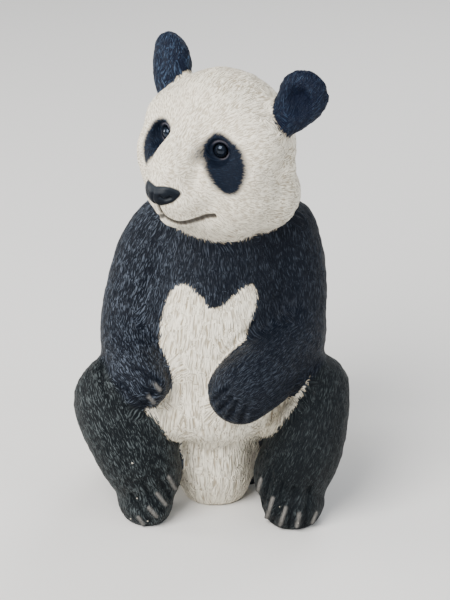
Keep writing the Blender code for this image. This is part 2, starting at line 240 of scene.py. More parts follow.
# Lines of the face: marks, width and depth. Those in pairs are given for the panda's left.
BROW_FOLD = ([(4, 38), (6, 29), (11, 19)], 7.0, 1.5)
NOSTRIL = ([(7, -15.5), (10, -17.5), (14, -15.5)], 2.8, 2.2)
NOSE_SPLIT = ([(0, -14), (0, -19), (0, -25)], 2.0, 0.9)
LIP_SPLIT = ([(0, -25), (0, -31), (0, -37)], 3.0, 2.2)
MOUTH_WIDTH = 3.8
MOUTH_DEPTH = 3.0

# Folds of the body on the sloping plane: marks, width and depth.
BODY_FOLDS = {
    "under the belly": ([(-36, -119), (-20, -125), (0, -133), (20, -125), (35, -118)], 6.0, 2.6),
    "over the left arm": ([(34, -22), (26, -30), (13, -43), (0, -58), (-3, -76)], 5.0, 2.0),
    "under the left arm": ([(74, -68), (60, -90), (42, -106), (22, -106)], 6.0, 2.5),
    "under the right arm": ([(-96, -52), (-92, -76), (-81, -90), (-56, -96)], 6.0, 2.5),
}

# Width and depth of the creases between the toes and between the fingers, and of a claw's ridge.
FOOT_CREASE = (4.5, 2.4)
HAND_CREASE = (4.6, 3.0)
CLAW_RIDGE = (3.0, -1.8)

# The nose pad: how far its rim and its middle stand out, and half the width of its dome.
NOSE_RISE = 2.6
NOSE_DOME = 3.4
NOSE_DOME_REACH = 20.0

# The lids: gap round the glass, height of the skin beside it, crest at the bottom and how much higher
# at the top, its distance from the glass and its width, where the shaping fades out and is full, the
# radius and half height of the skin that belongs to an eye, and the depth of the socket.
LID_GAP = 0.25
LID_BASE = 0.25
LID_LOW = 0.9
LID_MORE = 1.1
LID_OUT = 1.5
LID_WIDTH = 1.3
LID_REACH = (12.0, 7.6)
LID_ZONE = (12.5, 18.0)
SOCKET_DEPTH = 3.6

# Distances from the middle of an eye: its painted rim, its patch at the least, and the radius and
# width of the painted highlight on the fold over the lid and of the light line on the lower lid.
EYE_RIM = 6.2
PATCH_ROUND_EYE = 11.3
LID_FOLD_HIGHLIGHT = (8.6, 0.6)
LOWER_LID = (7.4, 0.5)

# The dark cup of an ear: its middle, given for the panda's left, and its reach.
EAR_CUP = ((72.0, 20.0, 61.0), (16.0, 16.0, 21.0))

# Locks of fur on the coat, and what the belly, the tufts between the feet, the face and the ears add.
LOCK_LENGTH = {"coat": 11.0, "belly": 5.0, "tuft": 8.0, "face": -6.0, "ear": -4.0}
LOCK_WIDTH = {"coat": 3.4, "belly": -0.7, "tuft": 3.0, "face": -1.4, "ear": -1.2}
LOCK_SHARE = {"coat": 0.12, "belly": 0.02}

# How far a lock's root strays, the steps that it is laid in, and how narrow its tip may be.
LOCK_JITTER = 0.6
LOCK_STEP = 1.6
LOCK_TIP = 0.8

# How much deeper the tufts are, the heights on the sloping plane between which they grow, how much
# shallower the face's locks are, and the share of a lock's height that is sunk in the skin.
TUFT_DEPTH = 1.6
TUFTS_FROM = -134.0
TUFTS_TO = -165.0
FACE_SHALLOWER = 0.75
LOCK_SUNK = 0.35

# The two fur maps: how far apart their small patches are, how far the points are spread along their
# normals so that opposite sides of a thin part are in different patches, and how ragged the edges are.
MAP_SPACINGS = {"fur_a": 14.0, "fur_b": 16.0}
MAP_SPREAD = 9.0
MAP_WOBBLE = 0.9
NEIGHBOURS = [(x, y, z) for x in (-1, 0, 1) for y in (-1, 0, 1) for z in (-1, 0, 1)]

# How far the distances from the coat's edge are followed, and how high the white of the back reaches.
EDGE_REACH = 20.0
BACK_WHITE_TOP = 184.0

# Gloss of the paint and of the glass.
PAINT_SPECULAR = 0.12
GLASS_SPECULAR = 0.4
GLASS_TINT = (0.62, 0.76, 1.0, 1.0)

# Lights: the setting that each takes its power from and its share of it, its size, place and colour.
LIGHTS = {
    "key_light": ("key_power", 1.0, 1.9, (-1.2, -1.6, 2.1), (1.0, 0.98, 0.95)),
    "fill_light": ("fill_power", 1.0, 1.6, (1.9, -1.3, 1.0), (0.90, 0.95, 1.0)),
    "side_light": ("fill_power", 1.0, 0.7, (-2.0, 0.3, 0.8), (1.0, 0.99, 0.97)),
    "back_light": ("fill_power", 1.2, 1.0, (0.8, 1.6, 1.7), (0.95, 0.97, 1.0)),
}
LIGHT_TARGET = Vector((0.0, 0.0, 0.2))
SKY_COLOUR = (0.97, 0.98, 1.0, 1.0)

# Where the photograph's camera stood, and how narrow its view was.
CAMERA_PLACE = (0.0100, -1.6889, 0.8503)
CAMERA_TILT = math.radians(68.0)
CAMERA_LENS = 123.1


# Frames and small geometry


def grid(x, y, z):
    """A point of the sculptor's grid, in metres."""
    return Vector((x, y, z)) * UNIT


def head_frame():
    """Places the head's own axes on the body."""
    turn = Matrix.Rotation(-HEAD_YAW, 4, "Z") @ Matrix.Rotation(HEAD_ROLL, 4, "Y")
    return Matrix.Translation(grid(*HEAD_CENTRE)) @ turn


def drawing_frame():
    """Places the sloping plane that the body's lines are drawn on."""
    return Matrix.Translation(grid(*DRAWING_CENTRE)) @ Matrix.Rotation(-DRAWING_SLOPE, 4, "X")


def eye_frame(side):
    """Places an eye: its own +Z leaves the head through the middle of the dome."""
    x, y, z = EYE_SEAT
    seat = Matrix.Translation(grid(side * x, y, z))
    look = Matrix.Rotation(side * EYE_LOOK_OUT, 4, "Z") @ Matrix.Rotation(math.pi / 2 - EYE_LOOK_UP, 4, "X")
    return head_frame() @ seat @ look


def sight_of(place):
    """The way that a frame is looked along, its own +Y."""
    return (place.to_3x3() @ Vector((0.0, 1.0, 0.0))).normalized()


def in_frame(place, points):
    """Points of the figure, in grid units, as seen in a frame, in grid units."""
    back = np.array(place.inverted())
    return points @ back[:3, :3].T + back[:3, 3] / UNIT


def out_of_frame(place, ways):
    """Directions of a frame turned back into the figure's."""
    return ways @ np.array(place)[:3, :3].T


def unit(ways):
    """Directions with a length of one."""
    return ways / np.maximum(np.linalg.norm(ways, axis=-1, keepdims=True), 1e-9)


def smooth(low, high, value):
    """Goes smoothly from 0 at low to 1 at high."""
    t = np.clip((value - low) / (high - low), 0.0, 1.0)
    return t * t * (3.0 - 2.0 * t)


def ring(out, radius, width):
    """1 on a circle, falling softly to 0 on both sides of it."""
    return np.exp(-(((out - radius) / width) ** 2))


def along(points, share):
    """The values at a share of the way along the smooth curve through points."""
    last = len(points) - 1
    spot = min(share * last, last - 1e-9)
    i = int(spot)
    t = spot - i
    before, here = points[max(i - 1, 0)], points[i]
    ahead, beyond = points[i + 1], points[min(i + 2, last)]
    made = []
    for a, b, c, d in zip(before, here, ahead, beyond):
        bend = 2 * a - 5 * b + 4 * c - d
        twist = -a + 3 * b - 3 * c + d
        made.append(0.5 * (2 * b + (c - a) * t + bend * t * t + twist * t**3))
    return made


def mirrored(marks, side):
    """A line drawn on the head's left, on the side that is wanted."""
    return [(side * x, z) for x, z in marks]


def field(items, name, size, kind=float):
    """One property of all the items of a mesh, as an array with a row for each."""
    values = np.empty(len(items) * size, kind)
    items.foreach_get(name, values)
    return values.reshape(-1, size)


# Clay


def ball(bm, centre, radii, tilt=(0.0, 0.0, 0.0), place=None):
    """Adds one ellipsoid of clay, tilted by degrees about X, Y and Z."""
    turn = Matrix.Identity(4)
    for angle, axis in zip(tilt, "XYZ"):
        turn = Matrix.Rotation(math.radians(angle), 4, axis) @ turn
    lump = Matrix.Translation(grid(*centre)) @ turn @ Matrix.Diagonal((*grid(*radii), 1.0))
    if place is not None:
        lump = place @ lump
    bmesh.ops.create_icosphere(bm, subdivisions=4, radius=1.0, matrix=lump)


def limb(bm, points, steps=14, place=None):
    """Adds a tapering limb: balls of clay strung closely along a smooth curve."""
    for n in range(steps + 1):
        x, y, z, radius = along(points, n / steps)
        ball(bm, (x, y, z), (radius,) * 3, place=place)


def trunk(bm, steps=44, corners=56):
    """Adds the trunk as a loft through its ovals."""
    rings = []
    for n in range(steps + 1):
        z, x, y, wide, deep = along(TRUNK, n / steps)
        place = Matrix.Translation(grid(x, y, z)) @ Matrix.Diagonal((*grid(wide, deep, 1.0), 1.0))
        ring = bmesh.ops.create_circle(bm, segments=corners, radius=1.0, matrix=place)["verts"]
        rings.append([e for e in bm.edges if e.verts[0] in ring and e.verts[1] in ring])
    for low, high in zip(rings, rings[1:]):
        bmesh.ops.bridge_loops(bm, edges=low + high)
    bmesh.ops.edgeloop_fill(bm, edges=rings[0])
    bmesh.ops.edgeloop_fill(bm, edges=rings[-1])


def head(bm):
    """Adds the head, muzzle and ears."""
    place = head_frame()
    for centre, radii in HEAD_LUMPS + MUZZLE_LUMPS:
        ball(bm, centre, radii, place=place)
    limb(bm, BRIDGE, 8, place)
    for side in (-1, 1):
        for (x, y, z), radii in HEAD_PAIRS:
            ball(bm, (side * x, y, z), radii, place=place)
        for n in range(9):
            x, y, z, wide, thick, tall = along(EARS[side], n / 8)
            lean, roll, turn = EAR_TILT
            ball(bm, (side * x, y, z), (wide, thick, tall), (lean, side * roll, side * turn), place)


def clay_mesh():
    """All the clay of the figure, still as separate lumps in one mesh."""
    bm = bmesh.new()
    trunk(bm)
    for lump in (LAP, FRONT_FUR, TAIL, RIGHT_FOOT, LEFT_FOOT):
        ball(bm, *lump)
    head(bm)
    limb(bm, RIGHT_ARM, 22)
    limb(bm, LEFT_ARM, 18)
    limb(bm, RIGHT_LEG)
    limb(bm, LEFT_LEG, 18)
    bmesh.ops.recalc_face_normals(bm, faces=bm.faces[:])
    mesh = bpy.data.meshes.new("clay")
    bm.to_mesh(mesh)
    bm.free()
    return mesh


def fuse(mesh, grain):
    """Fuses the lumps into one skin and blends the joins."""
    obj = bpy.data.objects.new("fused", mesh)
    bpy.context.scene.collection.objects.link(obj)
    remesh = obj.modifiers.new("fuse", "REMESH")
    remesh.mode = "VOXEL"
    remesh.voxel_size = grain
    blend = obj.modifiers.new("blend", "SMOOTH")
    blend.factor = 0.5
    blend.iterations = round(BLEND_ROUNDS * (UNIT / grain) ** 2)
    graph = bpy.context.evaluated_depsgraph_get()
    made = bpy.data.meshes.new_from_object(obj.evaluated_get(graph))
    bpy.data.objects.remove(obj, do_unlink=True)
    return made


def keep_outer_skin(bm):
    """Removes the skins of pockets that the lumps of clay closed in between them."""
    bm.verts.ensure_lookup_table()
    seen = set()
    skins = []
    for start in bm.verts:
        if start.index in seen:
            continue
        seen.add(start.index)
        found = [start]
        for vert in found:
            for edge in vert.link_edges:
                other = edge.other_vert(vert)
                if other.index not in seen:
                    seen.add(other.index)
                    found.append(other)
        skins.append(found)
    skins.sort(key=len)
    inner = [vert for found in skins[:-1] for vert in found]
    bmesh.ops.delete(bm, geom=inner, context="VERTS")


def cut_underside(bm):
    """Cuts the skin off flat where the figure stands."""
    everything = bm.verts[:] + bm.edges[:] + bm.faces[:]
    bmesh.ops.bisect_plane(
        bm, geom=everything, dist=1e-6, plane_co=(0, 0, 0), plane_no=(0, 0, 1), clear_inner=True
    )
    rim = [e for e in bm.edges if e.is_boundary]
    filled = bmesh.ops.edgeloop_fill(bm, edges=rim)
    bmesh.ops.triangulate(bm, faces=filled["faces"])


def refine(bm, wanted):
    """Splits the faces whose middle is wanted, and evens out the new points."""
    middles = np.array([f.calc_center_median() for f in bm.faces]) / UNIT
    chosen = wanted(middles)
    faces = [f for f, take in zip(bm.faces, chosen) if take and f.normal.z > -0.99]
    edges = list({e for f in faces for e in f.edges})
    made = bmesh.ops.subdivide_edges(bm, edges=edges, cuts=1, use_grid_fill=True)
    verts = [g for g in made["geom_inner"] if isinstance(g, bmesh.types.BMVert) and g.co.z > 1e-6]
    for _ in range(3):
        bmesh.ops.smooth_vert(bm, verts=verts, factor=0.5, use_axis_x=True, use_axis_y=True, use_axis_z=True)
    many = [f for f in bm.faces if len(f.verts) > 4]
    bmesh.ops.triangulate(bm, faces=many)


def detailed_parts(points):
    """The face, ears, feet and belly, which get finer carving than the rest."""
    at = in_frame(head_frame(), points)
    face = (at[:, 1] < -8) & (np.abs(at[:, 2]) < 64)
    ear = (at[:, 2] > 34) & (np.abs(at[:, 0]) > 44) & (at[:, 1] > -4)
    foot = (points[:, 1] < -78) & (points[:, 2] < 44)
    drawn = in_frame(drawing_frame(), points)
    belly = (points[:, 1] < -24) & (outline_depth(BELLY, drawn[:, 0], drawn[:, 2]) > -3.0)
    return face | ear | foot | belly


def finest_parts(points):
    """The eyes, nose and mouth."""
    at = in_frame(head_frame(), points)
    mouth = (np.abs(at[:, 0]) < 38) & (at[:, 2] < 0) & (at[:, 2] > -48) & (at[:, 1] < -30)
    eyes = np.zeros(len(points), bool)
    for side in (-1, 1):
        near = in_frame(eye_frame(side), points)
        eyes |= (np.hypot(near[:, 0], near[:, 1]) < 13) & (np.abs(near[:, 2]) < 16)
    return mouth | eyes


# Carving


class Skin:
    """The fused skin while it is carved, as arrays in grid units."""

    def __init__(self, mesh):
        self.mesh = mesh
        self.take_up()

    def take_up(self):
        """Reads the points from the mesh, and gets ready to drop lines on it."""
        self.points = field(self.mesh.vertices, "co", 3) / UNIT
        self.find_normals()

    def find_normals(self):
        """Puts the carved points back in the mesh, and takes its new normals and surface."""
        self.mesh.vertices.foreach_set("co", (self.points * UNIT).ravel())
        self.mesh.update()
        self.normals = field(self.mesh.vertices, "normal", 3)
        faces = [tuple(p.vertices) for p in self.mesh.polygons]
        self.surface = BVHTree.FromPolygons([Vector(p) for p in self.points], faces)

    def drop(self, place, marks, steps):
        """Points of the skin behind a drawn line, seen along the frame's own +Y."""
        sight = sight_of(place)
        found = []
        for n in range(steps + 1):
            x, z = along(marks, n / steps)
            start = (place @ grid(x, -FAR_IN_FRONT, z)) / UNIT
            hit = self.surface.ray_cast(start, sight)[0]
            if hit is not None:
                found.append(hit)
        return np.array(found)

    def distance(self, spots, width):
        """The points within width of a run of spots, and how far each is from it."""
        box = np.all((self.points > spots.min(0) - width) & (self.points < spots.max(0) + width), axis=1)
        near = np.flatnonzero(box)
        gap = np.linalg.norm(self.points[near, None] - spots[None], axis=2).min(1)
        return near[gap < width], gap[gap < width]

    def line(self, place, marks, width, depth, steps=24):
        """Carves a line, or raises a ridge where depth is below nought."""
        spots = self.drop(place, marks, steps)
        near, gap = self.distance(spots, width)
        fall = 0.5 + 0.5 * np.cos(math.pi * gap / width)
        self.points[near] -= self.normals[near] * (depth * fall)[:, None]

    def push(self, place, centre, radii, back, firm):
        """Moves the skin within an ellipsoid back in the frame, fully over its firm middle share."""
        away = (in_frame(place, self.points) - centre) / np.array(radii, float)
        share = np.linalg.norm(away, axis=1)
        fall = 0.5 + 0.5 * np.cos(math.pi * np.clip((share - firm) / (1.0 - firm), 0.0, 1.0))
        move = out_of_frame(place, np.array([[0.0, back, 0.0]]))
        self.points += move * np.where(share < 1, fall, 0.0)[:, None]


def outline_depth(outline, x, z):
    """How far inside a closed outline each point lies; outside it is below nought."""
    border = np.array([along(outline + outline[:1], n / 60) for n in range(61)])
    gap = np.full(x.shape, 1e9)
    inside = np.zeros(x.shape, bool)
    for (ax, az), (bx, bz) in zip(border, border[1:]):
        run = np.array([bx - ax, bz - az])
        t = np.clip(((x - ax) * run[0] + (z - az) * run[1]) / max(run @ run, 1e-9), 0.0, 1.0)
        gap = np.minimum(gap, np.hypot(x - ax - t * run[0], z - az - t * run[1]))
        crosses = (az > z) != (bz > z)
        inside ^= crosses & (x < ax + (z - az) / (bz - az if bz != az else 1e-9) * (bx - ax))
    return np.where(inside, gap, -gap)


def carve_hollows(skin):
    """The broad hollows and swellings of the face and ears."""
    place = head_frame()
    brow, *brow_size = BROW_FOLD
    for side in (-1, 1):
        for (x, y, z), *form in FACE_FORMS.values():
            skin.push(place, (side * x, y, z), *form)
        skin.line(place, mirrored(brow, side), *brow_size)
        for (x, y, z), *form in EAR_FORMS.values():
            skin.push(place, (side * x, y, z), *form)
    skin.push(place, *CHIN)
    skin.find_normals()


def carve_nose(skin):
    """The nose pad domes out of the muzzle, with two nostrils and the split below it."""
    place = head_frame()
    at = in_frame(place, skin.points)
    front = at[:, 1] < -46
    depth = np.where(front, outline_depth(NOSE, at[:, 0], at[:, 2]), -9.0)
    dome = np.clip(1.0 - (at[:, 0] / NOSE_DOME_REACH) ** 2, 0.0, 1.0)
    rise = NOSE_RISE * smooth(-1.2, 2.0, depth) + NOSE_DOME * smooth(0.0, 7.0, depth) * dome
    skin.points += out_of_frame(place, np.array([[0.0, -1.0, 0.0]])) * rise[:, None]
    skin.find_normals()
    nostril, *nostril_size = NOSTRIL
    for side in (-1, 1):
        skin.line(place, mirrored(nostril, side), *nostril_size)
    skin.line(place, *NOSE_SPLIT)
    skin.line(place, *LIP_SPLIT)
    for side in (-1, 1):
        skin.line(place, mirrored(MOUTH, side), MOUTH_WIDTH, MOUTH_DEPTH, steps=60)
    skin.find_normals()


def carve_lids(skin, radius):
    """Sets the skin round each eye: lids that stand up round it, and the socket behind it."""
    for side in (-1, 1):
        place = eye_frame(side)
        at = in_frame(place, skin.points)
        out = np.hypot(at[:, 0], at[:, 1])
        turn = np.arctan2(at[:, 1], at[:, 0])
        near = (out < LID_ZONE[0]) & (np.abs(at[:, 2]) < LID_ZONE[1])
        upper = 0.5 + 0.5 * np.sin(turn)
        crest = LID_LOW + LID_MORE * upper
        lid = crest * ring(out, radius + LID_OUT, LID_WIDTH) + LID_BASE
        share = smooth(*LID_REACH, out)
        height = at[:, 2] * (1.0 - share) + lid * share
        inner = out < radius
        height = np.where(inner, -SOCKET_DEPTH, height)
        wider = np.where(inner, np.minimum(out * 1.15, radius) / np.maximum(out, 1e-6), 1.0)
        moved = np.stack([at[:, 0] * wider, at[:, 1] * wider, height], axis=1) - at
        moved[~near] = 0.0
        skin.points += out_of_frame(place, moved)
    skin.find_normals()


def carve_body(skin):
    """The creases of the belly, arms, hands and feet, and the claws."""
    place = drawing_frame()
    skin.push(place, *BELLY_FORM)
    skin.find_normals()
    for fold in BODY_FOLDS.values():
        skin.line(place, *fold)
    skin.find_normals()
    for marks in FOOT_CREASES:
        skin.line(place, marks, *FOOT_CREASE)
    for marks in HAND_CREASES:
        skin.line(place, marks, *HAND_CREASE)
    skin.find_normals()
    for marks in CLAWS:
        skin.line(place, marks, *CLAW_RIDGE)
    skin.find_normals()


# Where the parts of the body lie


def curve_field(points, curve, place=None):
    """Distance from a limb's surface, and the way along it, at each point."""
    at = points if place is None else in_frame(place, points)
    made = np.array([along(curve, n / 40) for n in range(41)])
    ways = unit(np.gradient(made[:, :3], axis=0))
    gap = np.linalg.norm(at[:, None] - made[None, :, :3], axis=2) - made[:, 3]
    nearest = gap.argmin(1)
    way = ways[nearest]
    return gap.min(1), way if place is None else out_of_frame(place, way)


def lump_field(points, centre, radii):
    """Distance from an ellipsoid's surface, near enough."""
    share = np.linalg.norm((points - centre) / np.array(radii, float), axis=1)
    return (share - 1.0) * min(radii)


def trunk_field(points):
    """Distance from the trunk's surface, near enough."""
    table = np.array(TRUNK, float)
    z = points[:, 2]
    x, y, wide, deep = (np.interp(z, table[:, 0], table[:, k]) for k in range(1, 5))
    share = np.hypot((points[:, 0] - x) / wide, (points[:, 1] - y) / deep)
    gap = (share - 1.0) * np.minimum(wide, deep)
    return np.maximum(gap, z - TRUNK_TOP)


class Anatomy:
    """For each point: how far it is from each part of the body, and which way the fur lies."""

    def __init__(self, points):
        self.points = points
        self.head_at = in_frame(head_frame(), points)
        self.right_arm, right_arm_way = curve_field(points, RIGHT_ARM)
        self.left_arm, left_arm_way = curve_field(points, LEFT_ARM)
        self.right_leg, right_leg_way = curve_field(points, RIGHT_LEG)
        self.left_leg, left_leg_way = curve_field(points, LEFT_LEG)
        self.right_foot = lump_field(points, *RIGHT_FOOT[:2])
        self.left_foot = lump_field(points, *LEFT_FOOT[:2])
        self.trunk = trunk_field(points)
        for centre, radii, _ in (LAP, FRONT_FUR, TAIL):
            self.trunk = np.minimum(self.trunk, lump_field(points, centre, radii))
        self.head = self.head_gap()
        self.ear, ear_way = self.ears()
        self.fur_way = self.lie_of_fur(right_arm_way, left_arm_way, right_leg_way, left_leg_way, ear_way)

    def head_gap(self):
        """Distance from the head's surface without the ears."""
        at = self.head_at
        gaps = [lump_field(at, centre, radii) for centre, radii in HEAD_LUMPS + MUZZLE_LUMPS]
        for side in (-1, 1):
            gaps += [lump_field(at, (side * x, y, z), radii) for (x, y, z), radii in HEAD_PAIRS]
        gaps.append(curve_field(at, BRIDGE)[0])
        return np.min(gaps, axis=0)

    def ears(self):
        """Distance from the ears' surface, and the way out along each."""
        at = self.head_at
        gap = np.full(len(at), 1e9)
        way = np.zeros_like(at)
        for side in (-1, 1):
            root = np.array([side * EAR_ROOT[0], *EAR_ROOT[1:]])
            for n in range(9):
                x, y, z, wide, thick, tall = along(EARS[side], n / 8)
                near = lump_field(at, (side * x, y, z), (wide * 0.94, thick * 1.6, tall * 0.96))
                gap = np.minimum(gap, near)
            chosen = at[:, 0] * side > 0
            way[chosen] = unit(at[chosen] - root)
        return gap, out_of_frame(head_frame(), way)

    def lie_of_fur(self, right_arm_way, left_arm_way, right_leg_way, left_leg_way, ear_way):
        """The way the fur lies: down the trunk, along the limbs and ears, and back from the nose."""
        points = self.points
        front = smooth(-20.0, 20.0, points[:, 1]) * 2.0 - 1.0
        trunk_way = unit(np.stack([0.006 * points[:, 0], 0.35 * front, np.full(len(points), -1.0)], axis=1))
        head_way = unit(out_of_frame(head_frame(), self.head_at - np.array(NOSE_TIP)))
        shares = []
        legs = np.minimum(self.right_leg, self.right_foot), np.minimum(self.left_leg, self.left_foot)
        for gap in (self.right_arm, self.left_arm, *legs, self.trunk, self.head, self.ear - 1.0):
            shares.append(np.exp(-np.clip(gap + 3.0, 0.0, 60.0) / 1.3))
        ways = (right_arm_way, left_arm_way, right_leg_way, left_leg_way, trunk_way, head_way, ear_way)
        total = sum(share[:, None] * way for share, way in zip(shares, ways))
        return unit(total)


# Fur


def flatten(ways, normals):
    """Lays directions flat on the surface."""
    flat = ways - normals * np.sum(ways * normals, axis=1, keepdims=True)
    weak = np.linalg.norm(flat, axis=1) < 0.08
    spare = np.cross(normals, (0.0, 1.0, 0.0))
    flat[weak] = spare[weak]
    return unit(flat)


def lock_shape(share):
    """How wide and how high a lock is, as shares, on the way from its root at 0 to its tip at 1."""
    wide = 0.55 + 0.45 * math.sin(math.pi * min(1.0, share * 1.6 + 0.15))
    pointed = 1.0 - 0.75 * max(0.0, share - 0.45)
    high = 0.35 + 0.65 * math.sin(math.pi * min(1.0, 0.12 + 0.8 * share))
    return wide * pointed, high


def comb_locks(points, ways, lengths, widths, keep, rng):
    """Heights from 0 to 1 of locks of fur that lie along the ways, wide at the root, pointed at the tip."""
    tree = lookup_of(points)
    heights = np.zeros(len(points))
    roots = np.flatnonzero(rng.random(len(points)) < keep)
    for root in roots:
        spot = points[root] + rng.normal(0.0, LOCK_JITTER, 3)
        here = root
        length = lengths[root] * (0.75 + 0.5 * rng.random())
        width = widths[root] * (0.8 + 0.4 * rng.random())
        steps = max(3, int(length / LOCK_STEP))
        for step in range(steps):
            wide, high = lock_shape(step / (steps - 1))
            reach = max(width * wide, LOCK_TIP)
            for _, index, gap in tree.find_range(spot, reach):
                height = high * (1.0 - (gap / reach) ** 2)
                if height > heights[index]:
                    heights[index] = height
            spot = spot + ways[here] * (length / steps)
            here = tree.find(spot)[1]
    return heights


def lookup_of(spots):
    """A search tree of spots."""
    tree = KDTree(len(spots))
    for n, spot in enumerate(spots):
        tree.insert(spot, n)
    tree.balance()
    return tree


def scattered(spots, spacing, rng):
    """Picks spots in a random order, leaving out those within a spacing of one already picked."""
    taken = {}
    picked = []
    for n in rng.permutation(len(spots)):
        x, y, z = cell = tuple(np.floor(spots[n] / spacing).astype(int).tolist())
        near = [k for dx, dy, dz in NEIGHBOURS for k in taken.get((x + dx, y + dy, z + dz), ())]
        if all(np.sum((spots[k] - spots[n]) ** 2) >= spacing * spacing for k in near):
            taken.setdefault(cell, []).append(n)
            picked.append(n)
    return np.array(picked)


def chart_map(mesh, name, points, normals, ways, scale, rng):
    """A UV map of many small patches, each laid along the fur and scaled along and across it.

    Returns how far each point is from the edge of its patch.
    """
    middles = field(mesh.polygons, "center", 3) / UNIT
    facing = field(mesh.polygons, "normal", 3)
    spots = points + MAP_SPREAD * normals
    seeds = scattered(spots, MAP_SPACINGS[name], rng)
    tree = lookup_of(spots[seeds])
    wobble = rng.normal(0.0, MAP_WOBBLE, (len(middles), 3))
    owner = np.array([tree.find(place)[1] for place in middles + MAP_SPREAD * facing + wobble])
    along_fur = ways[seeds]
    across_fur = np.cross(normals[seeds], along_fur)
    shift = rng.random((len(seeds), 2)) * 400.0
    corners = field(mesh.loops, "vertex_index", 1, int)[:, 0]
    chart = np.repeat(owner, field(mesh.polygons, "loop_total", 1, int)[:, 0])
    offset = points[corners] - points[seeds[chart]]
    size = scale[seeds[chart]]
    u = np.sum(offset * along_fur[chart], axis=1) * size[:, 0] + shift[chart, 0]
    v = np.sum(offset * across_fur[chart], axis=1) * size[:, 1] + shift[chart, 1]
    layer = mesh.uv_layers.new(name=name)
    layer.data.foreach_set("uv", np.stack([u, v], axis=1).ravel())
    shares = np.zeros(len(points))
    for n, place in enumerate(spots):
        first, second = tree.find_n(place, 2)
        shares[n] = second[2] - first[2]
    return shares


def store(mesh, name, values):
    """Keeps a value for each point as an attribute that the material reads."""
    layer = mesh.attributes.new(name, "FLOAT", "POINT")
    layer.data.foreach_set("value", np.asarray(values, np.float32))


# Materials


class Nodes:
    """Writes a material's nodes in the order that they are read."""

    def __init__(self, name):
        self.material = bpy.data.materials.new(name)
        self.material.use_nodes = True
        self.tree = self.material.node_tree
        self.shader = self.tree.nodes["Principled BSDF"]

    def new(self, kind, **settings):
        """Adds a node with its settings."""
        node = self.tree.nodes.new(kind)
        for key, value in settings.items():
            setattr(node, key, value)
        return node

    def put(self, value, socket):
        """Links an output to a socket, or sets the socket to a plain value."""
        if isinstance(value, bpy.types.NodeSocket):
            self.tree.links.new(value, socket)
        else:
            socket.default_value = value

    def math(self, operation, a, b=0.0, clamp=False):
        """One step of arithmetic, kept between 0 and 1 where it is clamped."""
        node = self.new("ShaderNodeMath", operation=operation, use_clamp=clamp)
        self.put(a, node.inputs[0])
        self.put(b, node.inputs[1])
        return node.outputs[0]

    def between(self, value, low, high, to_low=0.0, to_high=1.0):
        """Maps a value from one range to another, smoothly and within it."""
        node = self.new("ShaderNodeMapRange", interpolation_type="SMOOTHSTEP")
        for given, socket in zip((value, low, high, to_low, to_high), node.inputs[:5]):
            self.put(given, socket)
        return node.outputs[0]

    def blend(self, share, a, b):
        """Mixes two colours, from the first at a share of 0 to the second at 1."""
        node = self.new("ShaderNodeMix", data_type="RGBA")
        self.put(share, node.inputs[0])
        self.put(a, node.inputs[6])
        self.put(b, node.inputs[7])
        return node.outputs[2]

    def lerp(self, share, a, b):
        """Mixes two numbers, from the first at a share of 0 to the second at 1."""
        node = self.new("ShaderNodeMix", data_type="FLOAT")
        self.put(share, node.inputs[0])
        self.put(a, node.inputs[2])
        self.put(b, node.inputs[3])
        return node.outputs[0]

    def attribute(self, name):
        """A value that is kept on the mesh."""
        node = self.new("ShaderNodeAttribute", attribute_name=name)
        return node.outputs["Fac"]

    def stretched(self, vector, length, width):
        """The fur's map with one stroke to each unit."""
        node = self.new("ShaderNodeMapping")
        self.put(vector, node.inputs["Vector"])
        node.inputs["Scale"].default_value = (1.0 / length, 1.0 / width, 1.0)
        return node.outputs[0]

    def noise(self, vector, scale, detail=2.0, roughness=0.5):
        """Cloudy noise, around a half."""
        node = self.new("ShaderNodeTexNoise")
        self.put(vector, node.inputs["Vector"])
        node.inputs["Scale"].default_value = scale
        node.inputs["Detail"].default_value = detail
        node.inputs["Roughness"].default_value = roughness
        return node.outputs[0]

    def cells(self, vector):
        """Distance from the middle of a stroke, and a value of its own for each stroke."""
        node = self.new("ShaderNodeTexVoronoi", feature="F1", voronoi_dimensions="2D")
        self.put(vector, node.inputs["Vector"])
        node.inputs["Scale"].default_value = 1.0
        parts = self.new("ShaderNodeSeparateColor")
        self.put(node.outputs["Color"], parts.inputs[0])
        return node.outputs["Distance"], parts.outputs[0]


def fur_strokes(nodes, map_name, length, width):
    """Height and tint of fine strokes laid along one of the fur's maps."""
    uv = nodes.new("ShaderNodeUVMap", uv_map=map_name).outputs[0]
    bend = nodes.noise(nodes.stretched(uv, length * 2.2, width * 12.0), 1.0, 1.0)
    shift = nodes.new("ShaderNodeCombineXYZ")
    nodes.put(nodes.math("MULTIPLY", nodes.math("SUBTRACT", bend, 0.5), width * 4.0), shift.inputs[1])
    wavy = nodes.new("ShaderNodeVectorMath", operation="ADD")
    nodes.put(uv, wavy.inputs[0])
    nodes.put(shift.outputs[0], wavy.inputs[1])
    gap, tint = nodes.cells(nodes.stretched(wavy.outputs[0], length, width))
    streak = nodes.noise(nodes.stretched(wavy.outputs[0], length * 1.4, width * 1.3), 1.0, 2.0, 0.7)
    return nodes.lerp(0.5, nodes.between(gap, 0.62, 0.06), nodes.between(streak, 0.36, 0.64)), tint


def painted(colour):
    """A colour setting as a shader takes it."""
    return (*colour, 1.0)


